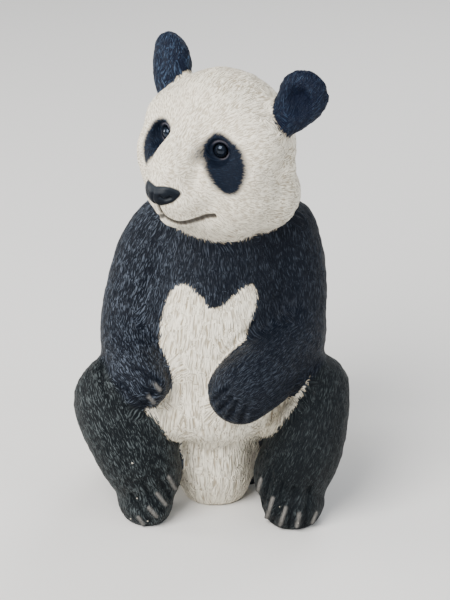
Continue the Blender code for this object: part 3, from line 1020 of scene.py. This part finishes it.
def casting_material(paint, fur):
    """Hand-painted resin: black and cream fur, eye patches, nose, lips, lids, claws and chips."""
    nodes = Nodes("painted_cast_fur")
    near = nodes.attribute("patch_share")
    ragged = nodes.noise(nodes.new("ShaderNodeUVMap", uv_map="fur_a").outputs[0], 0.5, 2.0)
    share = nodes.between(nodes.math("ADD", near, nodes.math("MULTIPLY", ragged, 3.0)), 3.0, 4.0)
    size = fur.strand_length / UNIT, fur.strand_width / UNIT
    ridge_a, tint_a = fur_strokes(nodes, "fur_a", *size)
    ridge_b, tint_b = fur_strokes(nodes, "fur_b", *size)
    strand = nodes.lerp(share, ridge_b, ridge_a)
    tint = nodes.lerp(share, tint_b, tint_a)
    lock = nodes.attribute("lock")
    place = nodes.new("ShaderNodeTexCoord").outputs["Object"]
    cloudy = nodes.noise(place, 22.0, 3.0)
    loose = nodes.math("SUBTRACT", strand, 0.5)
    raised = nodes.math("ADD", strand, nodes.math("MULTIPLY", nodes.math("SUBTRACT", lock, 0.4), 0.22))

    # White fur: cream on the strokes, a darker brown-grey in the hollows between them.
    cream = nodes.blend(nodes.between(raised, 0.05, 0.6), painted(paint.cream_in_hollows), painted(paint.cream))
    cream = nodes.blend(nodes.between(cloudy, 0.4, 0.75, 0.0, 0.3), cream, painted(paint.cream_shade))
    on_face = nodes.between(raised, 0.1, 0.65)
    smooth_cream = nodes.blend(on_face, painted(paint.face_in_hollows), painted(paint.face_cream))
    white = nodes.blend(nodes.attribute("face"), cream, smooth_cream)

    # Black fur: near black, dry brushed with a cool grey on the raised strokes.
    kept = nodes.math("ADD", nodes.math("MULTIPLY", tint, 0.6), 0.4)
    brushing_and_painted_light = nodes.math("MULTIPLY", nodes.between(raised, 0.38, 0.88), kept)
    brushing_and_painted_light = nodes.math("MULTIPLY", brushing_and_painted_light, nodes.between(cloudy, 0.3, 0.7, 0.85, 1.0), True)
    # The brushing is made stronger on the figure's right, the side that faces the key light: painted light
    # on the black fur.
    across = nodes.new("ShaderNodeSeparateXYZ")
    nodes.put(place, across.inputs[0])
    brushing_and_painted_light = nodes.math("MULTIPLY", brushing_and_painted_light, nodes.between(across.outputs[0], 0.03, -0.08, 0.5, 1.4), True)
    # Painted shade in the creases between the digits: the brushing is taken out there.
    brushing_and_painted_light = nodes.math("MULTIPLY", brushing_and_painted_light, nodes.math("SUBTRACT", 1.0, nodes.attribute("crease_shade")))
    black = nodes.blend(brushing_and_painted_light, painted(paint.black), painted(paint.black_brushed))
    on_leg = nodes.blend(brushing_and_painted_light, painted(paint.leg_black), painted(paint.leg_brushed))
    black = nodes.blend(nodes.attribute("leg"), black, on_leg)
    on_ear = nodes.blend(brushing_and_painted_light, painted(paint.ear_black), painted(paint.ear_brushed))
    in_cup = nodes.math("MULTIPLY", nodes.attribute("cup"), 0.9)
    on_ear = nodes.blend(in_cup, on_ear, painted(paint.ear_black))
    black = nodes.blend(nodes.attribute("ear"), black, on_ear)

    coat = nodes.math("ADD", nodes.attribute("coat"), nodes.math("MULTIPLY", loose, fur.ragged))
    black_share = nodes.between(coat, -0.7, 0.7)
    colour = nodes.blend(black_share, white, black)
    patch = nodes.math("ADD", nodes.attribute("patch"), nodes.math("MULTIPLY", loose, 2.4))
    faint = nodes.math("MULTIPLY", brushing_and_painted_light, 0.22)
    on_patch = nodes.blend(faint, painted(paint.patch), painted(paint.ear_brushed))
    colour = nodes.blend(nodes.between(patch, -2.8, 2.2), colour, on_patch)
    nose = nodes.between(nodes.attribute("nose"), -0.6, 0.5)
    # Painted highlight: the nose pad is lighter where it faces up and keeps its dark colour on its front.
    pad = nodes.blend(nodes.attribute("upward"), painted(paint.nose), painted(paint.nose_top_highlight))
    colour = nodes.blend(nose, colour, pad)
    # The mouth line and the split under the nose: their own dark paint, painted wide so that it also gives
    # the shade of the groove under the lip as painted shade.
    colour = nodes.blend(nodes.math("MULTIPLY", nodes.attribute("lips"), 0.92), colour, painted(paint.lips))
    rim = nodes.attribute("rim")
    colour = nodes.blend(rim, colour, painted(paint.rim))
    # Light lines along the lids: a painted highlight on the top of the fold over each lid, and the light
    # line of the lower lid.
    colour = nodes.blend(nodes.math("MULTIPLY", nodes.attribute("lid"), 0.6), colour, painted(paint.lid))
    colour = nodes.blend(nodes.math("MULTIPLY", nodes.attribute("claw"), 0.8), colour, painted(paint.claw))
    for x, up, size in CHIPS:
        colour = nodes.blend(chip_share(nodes, place, x, up, size), colour, painted(paint.cream_shade))
    nodes.put(colour, nodes.shader.inputs["Base Color"])

    # Satin paint on the black fur, matter on the white, smoother on the nose and the eye rims.
    rough = nodes.lerp(black_share, 0.66, 0.52)
    rough = nodes.lerp(nose, rough, 0.40)
    rough = nodes.lerp(rim, rough, 0.25)
    nodes.put(rough, nodes.shader.inputs["Roughness"])
    nodes.shader.inputs["Specular IOR Level"].default_value = PAINT_SPECULAR

    fine = nodes.noise(place, 900.0, 2.0)
    height = nodes.math("MULTIPLY", strand, nodes.attribute("depth"))
    height = nodes.math("ADD", height, nodes.math("MULTIPLY", fine, 0.10))
    bump = nodes.new("ShaderNodeBump")
    bump.inputs["Strength"].default_value = 1.0
    bump.inputs["Distance"].default_value = fur.strand_depth
    nodes.put(height, bump.inputs["Height"])
    nodes.put(bump.outputs[0], nodes.shader.inputs["Normal"])
    return nodes.material


def chip_share(nodes, place, x, up, size):
    """1 on a small ragged chip, seen along the sloping plane."""
    drawing = drawing_frame()
    offset = nodes.new("ShaderNodeVectorMath", operation="SUBTRACT")
    nodes.put(place, offset.inputs[0])
    offset.inputs[1].default_value = drawing @ grid(x, 0.0, up)
    across = nodes.new("ShaderNodeVectorMath", operation="CROSS_PRODUCT")
    nodes.put(offset.outputs[0], across.inputs[0])
    across.inputs[1].default_value = sight_of(drawing)
    far = nodes.new("ShaderNodeVectorMath", operation="LENGTH")
    nodes.put(across.outputs[0], far.inputs[0])
    rough = nodes.math("MULTIPLY", nodes.noise(place, 1100.0, 1.0), size * CHIP_RAGGED)
    reach = nodes.math("ADD", far.outputs["Value"], rough)
    return nodes.between(reach, size * CHIP_OUTER, size * CHIP_INNER)


def eye_material(eyes):
    """Dark glass over a flecked iris, with the pupil and the rim darker."""
    nodes = Nodes("eye_glass")
    out = nodes.attribute("from_axis")
    speckle = nodes.noise(nodes.new("ShaderNodeTexCoord").outputs["Object"], 1500.0, 3.0)
    iris = nodes.blend(nodes.between(speckle, 0.3, 0.7), painted(eyes.iris_dark), painted(eyes.iris))
    colour = nodes.blend(nodes.between(out, 0.42, 0.5), painted(eyes.pupil), iris)
    colour = nodes.blend(nodes.between(out, 0.84, 0.94), colour, painted(eyes.pupil))
    nodes.put(colour, nodes.shader.inputs["Base Color"])
    nodes.put(nodes.between(speckle, 0.2, 0.8, 0.03, 0.06), nodes.shader.inputs["Roughness"])
    nodes.shader.inputs["Specular IOR Level"].default_value = GLASS_SPECULAR
    nodes.shader.inputs["Specular Tint"].default_value = GLASS_TINT
    return nodes.material


def floor_material(stage):
    """A matt pale ground, faintly mottled."""
    nodes = Nodes("pale_floor")
    mottle = nodes.noise(nodes.new("ShaderNodeTexCoord").outputs["Object"], 3.0, 2.0)
    darker = [channel * 0.985 for channel in stage.floor_colour]
    tone = nodes.blend(mottle, painted(stage.floor_colour), painted(darker))
    nodes.put(tone, nodes.shader.inputs["Base Color"])
    nodes.shader.inputs["Roughness"].default_value = 0.9
    return nodes.material


# Settings


def colour_of(name, description, default):
    """A colour that a user may change."""
    return FloatVectorProperty(
        name=name, description=description, subtype="COLOR", size=3, min=0.0, max=1.0, default=default
    )


def length_of(name, description, default, low, high):
    """A length that a user may change."""
    return FloatProperty(
        name=name, description=description, subtype="DISTANCE", unit="LENGTH",
        default=default, min=low, max=high, precision=4,
    )


def power_of(name, description, default):
    """A light's power that a user may change."""
    return FloatProperty(name=name, description=description, unit="POWER", default=default, min=0.0)


class PandaFurSettings(bpy.types.PropertyGroup):
    """Sizes of the moulded fur"""

    grain: length_of("Grain", "Size of the clay's finest blend", 0.0031, 0.0015, 0.006)
    lock_depth: length_of("Lock depth", "Height of the moulded locks on the belly", 0.0015, 0.0, 0.004)
    coat_depth: length_of("Coat depth", "Height of the moulded strokes elsewhere", 0.0007, 0.0, 0.003)
    strand_length: length_of("Strand length", "Length of a fine stroke of fur", 0.0068, 0.002, 0.03)
    strand_width: length_of("Strand width", "Width of a fine stroke of fur", 0.00105, 0.0004, 0.005)
    strand_depth: length_of("Strand depth", "Height of a fine stroke of fur", 0.0010, 0.0, 0.004)
    ragged: FloatProperty(
        name="Ragged edge", description="How far strokes carry across the coat's edge, in millimetres",
        default=4.5, min=0.0, max=12.0,
    )
    seed: IntProperty(name="Seed", description="Picks another lie of the locks", default=7, min=0)


class PandaPaintSettings(bpy.types.PropertyGroup):
    """Colours of the paint"""

    cream: colour_of("Cream", "White fur on its raised strokes", (0.96, 0.90, 0.75))
    # A darker brown-grey for the hollows between the white fur's strokes.
    cream_shade: colour_of("Cream shade", "Cloudy shade over the white fur", (0.74, 0.68, 0.57))
    cream_in_hollows: colour_of("Cream wash", "Wash between the white strokes", (0.38, 0.32, 0.23))
    face_cream: colour_of("Face cream", "Smoother fur of the face", (0.95, 0.885, 0.74))
    # A darker brown-grey for the hollows between the face's strokes.
    face_in_hollows: colour_of("Face wash", "Wash between the face's strokes", (0.50, 0.435, 0.335))
    black: colour_of("Black", "Black fur between its strokes", (0.002, 0.004, 0.009))
    black_brushed: colour_of("Brushed black", "Black fur on its raised strokes", (0.078, 0.095, 0.125))
    leg_black: colour_of("Leg black", "Black fur of the legs", (0.003, 0.005, 0.007))
    leg_brushed: colour_of("Brushed leg black", "Raised strokes of the legs", (0.080, 0.096, 0.100))
    ear_black: colour_of("Ear black", "Fur of the ears between its strokes", (0.002, 0.005, 0.016))
    ear_brushed: colour_of("Brushed ear black", "Raised strokes of the ears", (0.052, 0.085, 0.145))
    patch: colour_of("Eye patch", "Patches round the eyes", (0.002, 0.005, 0.013))
    nose: colour_of("Nose", "Front of the nose pad", (0.002, 0.004, 0.008))
    # A painted highlight on the upward-facing top of the nose pad.
    nose_top_highlight: colour_of("Nose top", "Top of the nose pad", (0.022, 0.027, 0.034))
    # The mouth's dark paint, which also serves as painted shade along its groove.
    lips: colour_of("Lips", "Line of the mouth", (0.022, 0.018, 0.017))
    rim: colour_of("Eye rim", "Inside of the lids", (0.003, 0.003, 0.005))
    # Painted highlight on the fold over the lid, and the light line of the lower lid.
    lid: colour_of("Lid", "Light line along the lids", (0.13, 0.12, 0.14))
    claw: colour_of("Claw", "Claws", (0.22, 0.21, 0.195))


class PandaEyeSettings(bpy.types.PropertyGroup):
    """Sizes and colours of the glass eyes"""

    diameter: length_of("Diameter", "Diameter of a glass eye", 0.0120, 0.004, 0.03)
    rise: length_of("Dome rise", "Height of the dome over its rim", 0.0046, 0.001, 0.012)
    back: length_of("Back depth", "Depth of the eye behind its rim", 0.0030, 0.001, 0.01)
    iris: colour_of("Iris", "Light flecks of the iris", (0.008, 0.011, 0.018))
    iris_dark: colour_of("Dark iris", "Ground of the iris", (0.004, 0.006, 0.011))
    pupil: colour_of("Pupil", "Pupil and outer rim", (0.002, 0.003, 0.005))


class PandaStageSettings(bpy.types.PropertyGroup):
    """The floor and the light"""

    floor_colour: colour_of("Floor", "Colour of the floor", (0.78, 0.77, 0.75))
    floor_size: length_of("Floor size", "Width of the floor", 12.0, 1.0, 40.0)
    key_power: power_of("Key light", "Power of the main light", 146.0)
    fill_power: power_of("Fill light", "Power of the fill light and of those that follow it", 22.0)
    sky: FloatProperty(
        name="Sky", description="Strength of the even light from all round", default=0.48, min=0.0
    )


# Pieces


def show(name, mesh, nodes):
    """Puts a finished mesh in the scene in place of the frame's nodes."""
    obj = bpy.data.objects.new(name, mesh)
    bpy.context.scene.collection.objects.link(obj)
    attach(obj, "root")
    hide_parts(*nodes)
    return obj


class PANDA_OT_casting(bpy.types.Operator):
    """Models the cast figure in clay, carves its face, paws and fur, and paints it"""

    bl_idname = "object.panda_casting"
    bl_label = "Casting"

    def execute(self, context):
        fur = context.scene.panda_fur
        rng = np.random.default_rng(fur.seed)
        skin = self.carve(fur, context.scene.panda_eyes)
        self.comb(skin, fur, rng)
        self.lay_maps(skin, rng)
        mesh = skin.mesh
        mesh.shade_smooth()
        mesh.materials.clear()
        mesh.materials.append(casting_material(context.scene.panda_paint, fur))
        show("panda_figure", mesh, [CASTING])
        return {"FINISHED"}

    def carve(self, fur, eyes):
        """The figure with all its carving but the fur."""
        mesh = fuse(clay_mesh(), fur.grain)
        bm = bmesh.new()
        bm.from_mesh(mesh)
        keep_outer_skin(bm)
        cut_underside(bm)
        refine(bm, detailed_parts)
        bm.to_mesh(mesh)
        bm.free()
        skin = Skin(mesh)
        carve_hollows(skin)
        bm = bmesh.new()
        bm.from_mesh(mesh)
        refine(bm, finest_parts)
        bm.to_mesh(mesh)
        bm.free()
        skin.take_up()
        carve_nose(skin)
        carve_lids(skin, eyes.diameter / 2 / UNIT + LID_GAP)
        carve_body(skin)
        skin.points[:, 2] = np.maximum(skin.points[:, 2], 0.0)
        skin.find_normals()
        return skin

    def comb(self, skin, fur, rng):
        """Moulds the fur into the skin, and works out where each paint goes."""
        points, normals = skin.points, skin.normals
        body = Anatomy(points)
        self.ways = flatten(body.fur_way, normals)
        masks = paint_masks(body, skin)
        belly = smooth(1.0, -3.0, masks["coat"]) * smooth(2.0, 8.0, body.head)
        ear = masks["ear"]
        face = masks["face"]
        by_eye = smooth(2.5, 0.5, masks.pop("eye_gap"))
        bare = np.maximum.reduce([smooth(-2.0, 0.0, masks["nose"]), by_eye, masks["lips"]])
        tuft = belly * smooth(TUFTS_FROM, TUFTS_TO, in_frame(drawing_frame(), points)[:, 2])
        shares = {"coat": 1.0, "belly": belly, "tuft": tuft, "face": face, "ear": ear}
        length, width, keep = (
            sum(value * shares[part] for part, value in table.items())
            for table in (LOCK_LENGTH, LOCK_WIDTH, LOCK_SHARE)
        )
        lock = comb_locks(points, self.ways, length, width, keep, rng)
        depth = fur.coat_depth + (fur.lock_depth - fur.coat_depth) * belly
        depth = depth + fur.lock_depth * TUFT_DEPTH * tuft
        depth = depth * (1.0 - FACE_SHALLOWER * face) * (1.0 - bare) / UNIT
        depth = depth * smooth(0.0, 3.0, points[:, 2])
        before = points.copy()
        points += normals * ((lock - LOCK_SUNK) * depth)[:, None]
        points[:, 2] = np.where(before[:, 2] > 1e-6, np.maximum(points[:, 2], 0.0), before[:, 2])
        low, high = np.array(LOW) / UNIT, np.array(HIGH) / UNIT
        skin.points = np.clip(points, low, high)
        skin.find_normals()
        masks["lock"] = lock * (1.0 - bare)
        masks["depth"] = (1.0 - 0.6 * face + 0.35 * belly) * (1.0 - bare)
        for name, values in masks.items():
            store(skin.mesh, name, values)
        longer = 1.0 + 1.1 * belly - 0.3 * face - 0.25 * ear
        wider = 1.0 + 0.5 * belly
        self.scale = 1.0 / np.stack([longer, wider], axis=1)

    def lay_maps(self, skin, rng):
        """Lays the two maps that the fine strokes follow, so that one hides the other's seams."""
        ways = flatten(self.ways, skin.normals)
        shares = [
            chart_map(skin.mesh, name, skin.points, skin.normals, ways, self.scale, rng)
            for name in MAP_SPACINGS
        ]
        store(skin.mesh, "patch_share", shares[0])


def edge(gap, slope, shift=0.0):
    """A distance from an edge, scaled and shifted, and followed only near the edge."""
    return np.clip(gap * slope + shift, -EDGE_REACH, EDGE_REACH)


def coat_edge(body):
    """How far inside the black coat each point is, in grid units; on white fur it is below nought.

    Returns the same for the black of the ears, and how far outside the legs each point is.
    """
    points = body.points
    drawn = in_frame(drawing_frame(), points)
    arms = np.minimum(body.right_arm, body.left_arm)
    legs = np.minimum.reduce([body.right_leg, body.left_leg, body.right_foot, body.left_foot])
    on_arm = edge(np.minimum(body.trunk, legs) - arms, 0.7)
    on_leg = edge(body.trunk - legs, 0.7)
    belly = -edge(outline_depth(BELLY, drawn[:, 0], drawn[:, 2]), 1.0)
    white = np.minimum(lump_field(points, *FRONT_FUR[:2]), lump_field(points, *LAP[:2]))
    block = np.maximum(edge(white - 4.0, 0.8), on_leg)
    low = smooth(-118.0, -126.0, drawn[:, 2])
    front = np.maximum(belly * (1.0 - low) + block * low, on_arm)
    back = np.maximum.reduce([edge(points[:, 2] - BACK_WHITE_TOP, 0.8), on_arm, on_leg])
    behind = smooth(-18.0, 12.0, points[:, 1])
    coat = front * (1.0 - behind) + back * behind
    neck = edge(body.head - np.minimum(body.trunk, arms), 0.6, 0.5)
    ear = edge(body.head - body.ear, 0.8, -1.0)
    return np.maximum(np.minimum(coat, neck), ear), ear, legs - np.minimum(body.trunk, arms)


def drawn_share(skin, place, runs, width, core):
    """1 along drawn lines, falling to 0 at a width from them."""
    share = np.zeros(len(skin.points))
    for marks in runs:
        near, gap = skin.distance(skin.drop(place, marks, 40), width)
        share[near] = np.maximum(share[near], smooth(width, core, gap))
    return share


def paint_masks(body, skin):
    """Where each paint goes: distances in grid units inside an edge, or shares from 0 to 1."""
    points, at = body.points, body.head_at
    coat, ear, leg = coat_edge(body)
    patch = np.full(len(points), -EDGE_REACH)
    for side, outline in PATCHES.items():
        here = (at[:, 1] < -12) & (at[:, 0] * side > 0)
        patch[here] = outline_depth(outline, at[here, 0] * side, at[here, 2])
    nose = np.where(at[:, 1] < -50, outline_depth(NOSE, at[:, 0], at[:, 2]), -EDGE_REACH)
    face = smooth(-6.0, -28.0, at[:, 1]) * smooth(6.0, 0.0, body.head) * smooth(-52.0, -36.0, at[:, 2])
    place = head_frame()
    lip_split = LIP_SPLIT[0]
    mouth = [mirrored(MOUTH, side) for side in (-1, 1)] + [[lip_split[0], lip_split[-1]]]
    eye_gap = np.full(len(points), 30.0)
    lid = np.zeros(len(points))
    for side in (-1, 1):
        local = in_frame(eye_frame(side), points)
        out = np.hypot(local[:, 0], local[:, 1])
        near = np.abs(local[:, 2]) < 14
        eye_gap[near] = np.minimum(eye_gap[near], out[near] - EYE_RIM)
        patch[near] = np.maximum(patch[near], PATCH_ROUND_EYE - out[near])
        up = local[:, 1] / np.maximum(out, 1e-6)
        corner = (0.7 * side * local[:, 0] - 0.7 * local[:, 1]) / np.maximum(out, 1e-6)
        # A painted highlight on the top of the fold over the lid, and a light line on the lower lid's outer
        # corner.
        fold = ring(out, *LID_FOLD_HIGHLIGHT) * smooth(0.35, 0.9, up)
        lower = ring(out, *LOWER_LID) * smooth(0.5, 1.0, corner)
        lid[near] = np.maximum.reduce([lid, fold, lower])[near]
    cup = np.zeros(len(points))
    (x, y, z), reach = EAR_CUP
    for side in (-1, 1):
        away = np.linalg.norm((at - np.array([side * x, y, z])) / np.array(reach), axis=1)
        cup = np.maximum(cup, smooth(1.0, 0.35, away) * smooth(26.0, 20.0, at[:, 1]))
    return {
        "coat": coat,
        "patch": patch,
        "nose": nose,
        "face": face,
        # Dark paint of the mouth, painted wide as painted shade along its groove as well.
        "lips": drawn_share(skin, place, mouth, 3.4, 1.1),
        "claw": drawn_share(skin, drawing_frame(), CLAWS, 2.5, 0.4),
        # Painted shade along the creases between the fingers and toes.
        "crease_shade": 0.95 * drawn_share(skin, drawing_frame(), HAND_CREASES + FOOT_CREASES, 2.6, 0.6),
        "eye_gap": eye_gap,
        "rim": smooth(1.0, 0.3, eye_gap),
        "lid": lid,
        "cup": cup,
        "ear": smooth(-1.0, 3.0, ear),
        "leg": smooth(0.0, -6.0, leg),
        # How far each point faces up, for the nose pad's painted highlight.
        "upward": smooth(0.0, 0.85, skin.normals[:, 2]),
    }


class PANDA_OT_eyes(bpy.types.Operator):
    """Turns the two glass eyes and sets them in their sockets"""

    bl_idname = "object.panda_eyes"
    bl_label = "Eyes"

    def execute(self, context):
        eyes = context.scene.panda_eyes
        glass = eye_material(eyes)
        for side, name in ((-1, EYE_RIGHT), (1, EYE_LEFT)):
            mesh = self.turned(name, eyes)
            radius = eyes.diameter / 2
            store(mesh, "from_axis", [math.hypot(v.co.x, v.co.y) / radius for v in mesh.vertices])
            mesh.transform(eye_frame(side))
            mesh.shade_smooth()
            mesh.materials.append(glass)
            show("glass_" + name, mesh, [name])
        return {"FINISHED"}

    def turned(self, name, eyes):
        """A dome with a flat back, turned round its own +Z."""
        bm = bmesh.new()
        radius = eyes.diameter / 2
        profile = [(0.0, -eyes.back), (radius, -eyes.back), (radius, 0.0)]
        for n in range(1, 13):
            turn = math.pi / 2 * n / 12
            profile.append((radius * math.cos(turn), eyes.rise * math.sin(turn)))
        verts = [bm.verts.new((r if r > 1e-9 else 0.0, 0.0, h)) for r, h in profile]
        edges = [bm.edges.new(pair) for pair in zip(verts, verts[1:])]
        bmesh.ops.spin(
            bm, geom=verts + edges, cent=(0, 0, 0), axis=(0, 0, 1), angle=math.tau, steps=48, use_merge=True
        )
        bmesh.ops.remove_doubles(bm, verts=bm.verts[:], dist=1e-6)
        bmesh.ops.recalc_face_normals(bm, faces=bm.faces[:])
        mesh = bpy.data.meshes.new(name)
        bm.to_mesh(mesh)
        bm.free()
        return mesh


class PANDA_OT_stage(bpy.types.Operator):
    """Lays the pale floor, hangs the lights and sets up the camera"""

    bl_idname = "object.panda_stage"
    bl_label = "Stage"

    def execute(self, context):
        stage = context.scene.panda_stage
        bm = bmesh.new()
        bmesh.ops.create_grid(bm, x_segments=2, y_segments=2, size=stage.floor_size / 2)
        mesh = bpy.data.meshes.new("floor")
        bm.to_mesh(mesh)
        bm.free()
        mesh.materials.append(floor_material(stage))
        floor = bpy.data.objects.new("floor", mesh)
        context.scene.collection.objects.link(floor)
        for name, (setting, share, *rest) in LIGHTS.items():
            self.light(name, getattr(stage, setting) * share, *rest)
        world = bpy.data.worlds.new("soft_sky")
        context.scene.world = world
        world.use_nodes = True
        sky = world.node_tree.nodes["Background"]
        sky.inputs["Color"].default_value = SKY_COLOUR
        sky.inputs["Strength"].default_value = stage.sky
        camera = bpy.data.cameras.new("camera")
        camera.sensor_width = 36.0
        camera.lens = CAMERA_LENS
        eye = bpy.data.objects.new("camera", camera)
        eye.location = CAMERA_PLACE
        eye.rotation_euler = (CAMERA_TILT, 0.0, 0.0)
        context.scene.collection.objects.link(eye)
        context.scene.camera = eye
        return {"FINISHED"}

    def light(self, name, power, size, place, colour):
        """An area light that looks at the figure's chest."""
        lamp = bpy.data.lights.new(name, "AREA")
        lamp.energy = power
        lamp.size = size
        lamp.color = colour
        obj = bpy.data.objects.new(name, lamp)
        obj.location = place
        look = LIGHT_TARGET - Vector(place)
        obj.rotation_euler = look.to_track_quat("-Z", "Y").to_euler()
        bpy.context.scene.collection.objects.link(obj)


class PANDA_PT_sidebar(bpy.types.Panel):
    """Lists the figurine's pieces and their settings"""

    bl_idname = "PANDA_PT_sidebar"
    bl_label = "Panda figurine"
    bl_space_type = "VIEW_3D"
    bl_region_type = "UI"
    bl_category = "Panda"

    def draw(self, context):
        for operator, settings in (
            (PANDA_OT_casting, ("panda_fur", "panda_paint")),
            (PANDA_OT_eyes, ("panda_eyes",)),
            (PANDA_OT_stage, ("panda_stage",)),
        ):
            box = self.layout.box()
            box.operator(operator.bl_idname)
            for name in settings:
                group = getattr(context.scene, name)
                for prop in group.bl_rna.properties:
                    if prop.identifier not in {"rna_type", "name"}:
                        box.prop(group, prop.identifier)


SETTINGS = {
    "panda_fur": PandaFurSettings,
    "panda_paint": PandaPaintSettings,
    "panda_eyes": PandaEyeSettings,
    "panda_stage": PandaStageSettings,
}
CLASSES = [*SETTINGS.values(), PANDA_OT_casting, PANDA_OT_eyes, PANDA_OT_stage, PANDA_PT_sidebar]


def register():
    """Makes the settings, the operators and the panel known."""
    for cls in CLASSES:
        bpy.utils.register_class(cls)
    for name, cls in SETTINGS.items():
        setattr(bpy.types.Scene, name, PointerProperty(type=cls))


def unregister():
    """Takes them away again."""
    for name in SETTINGS:
        delattr(bpy.types.Scene, name)
    for cls in reversed(CLASSES):
        bpy.utils.unregister_class(cls)


def main():
    """Makes the whole figurine and its stage."""
    register()
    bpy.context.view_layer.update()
    bpy.ops.object.panda_casting()
    bpy.ops.object.panda_eyes()
    bpy.ops.object.panda_stage()


if __name__ == "__main__":
    main()
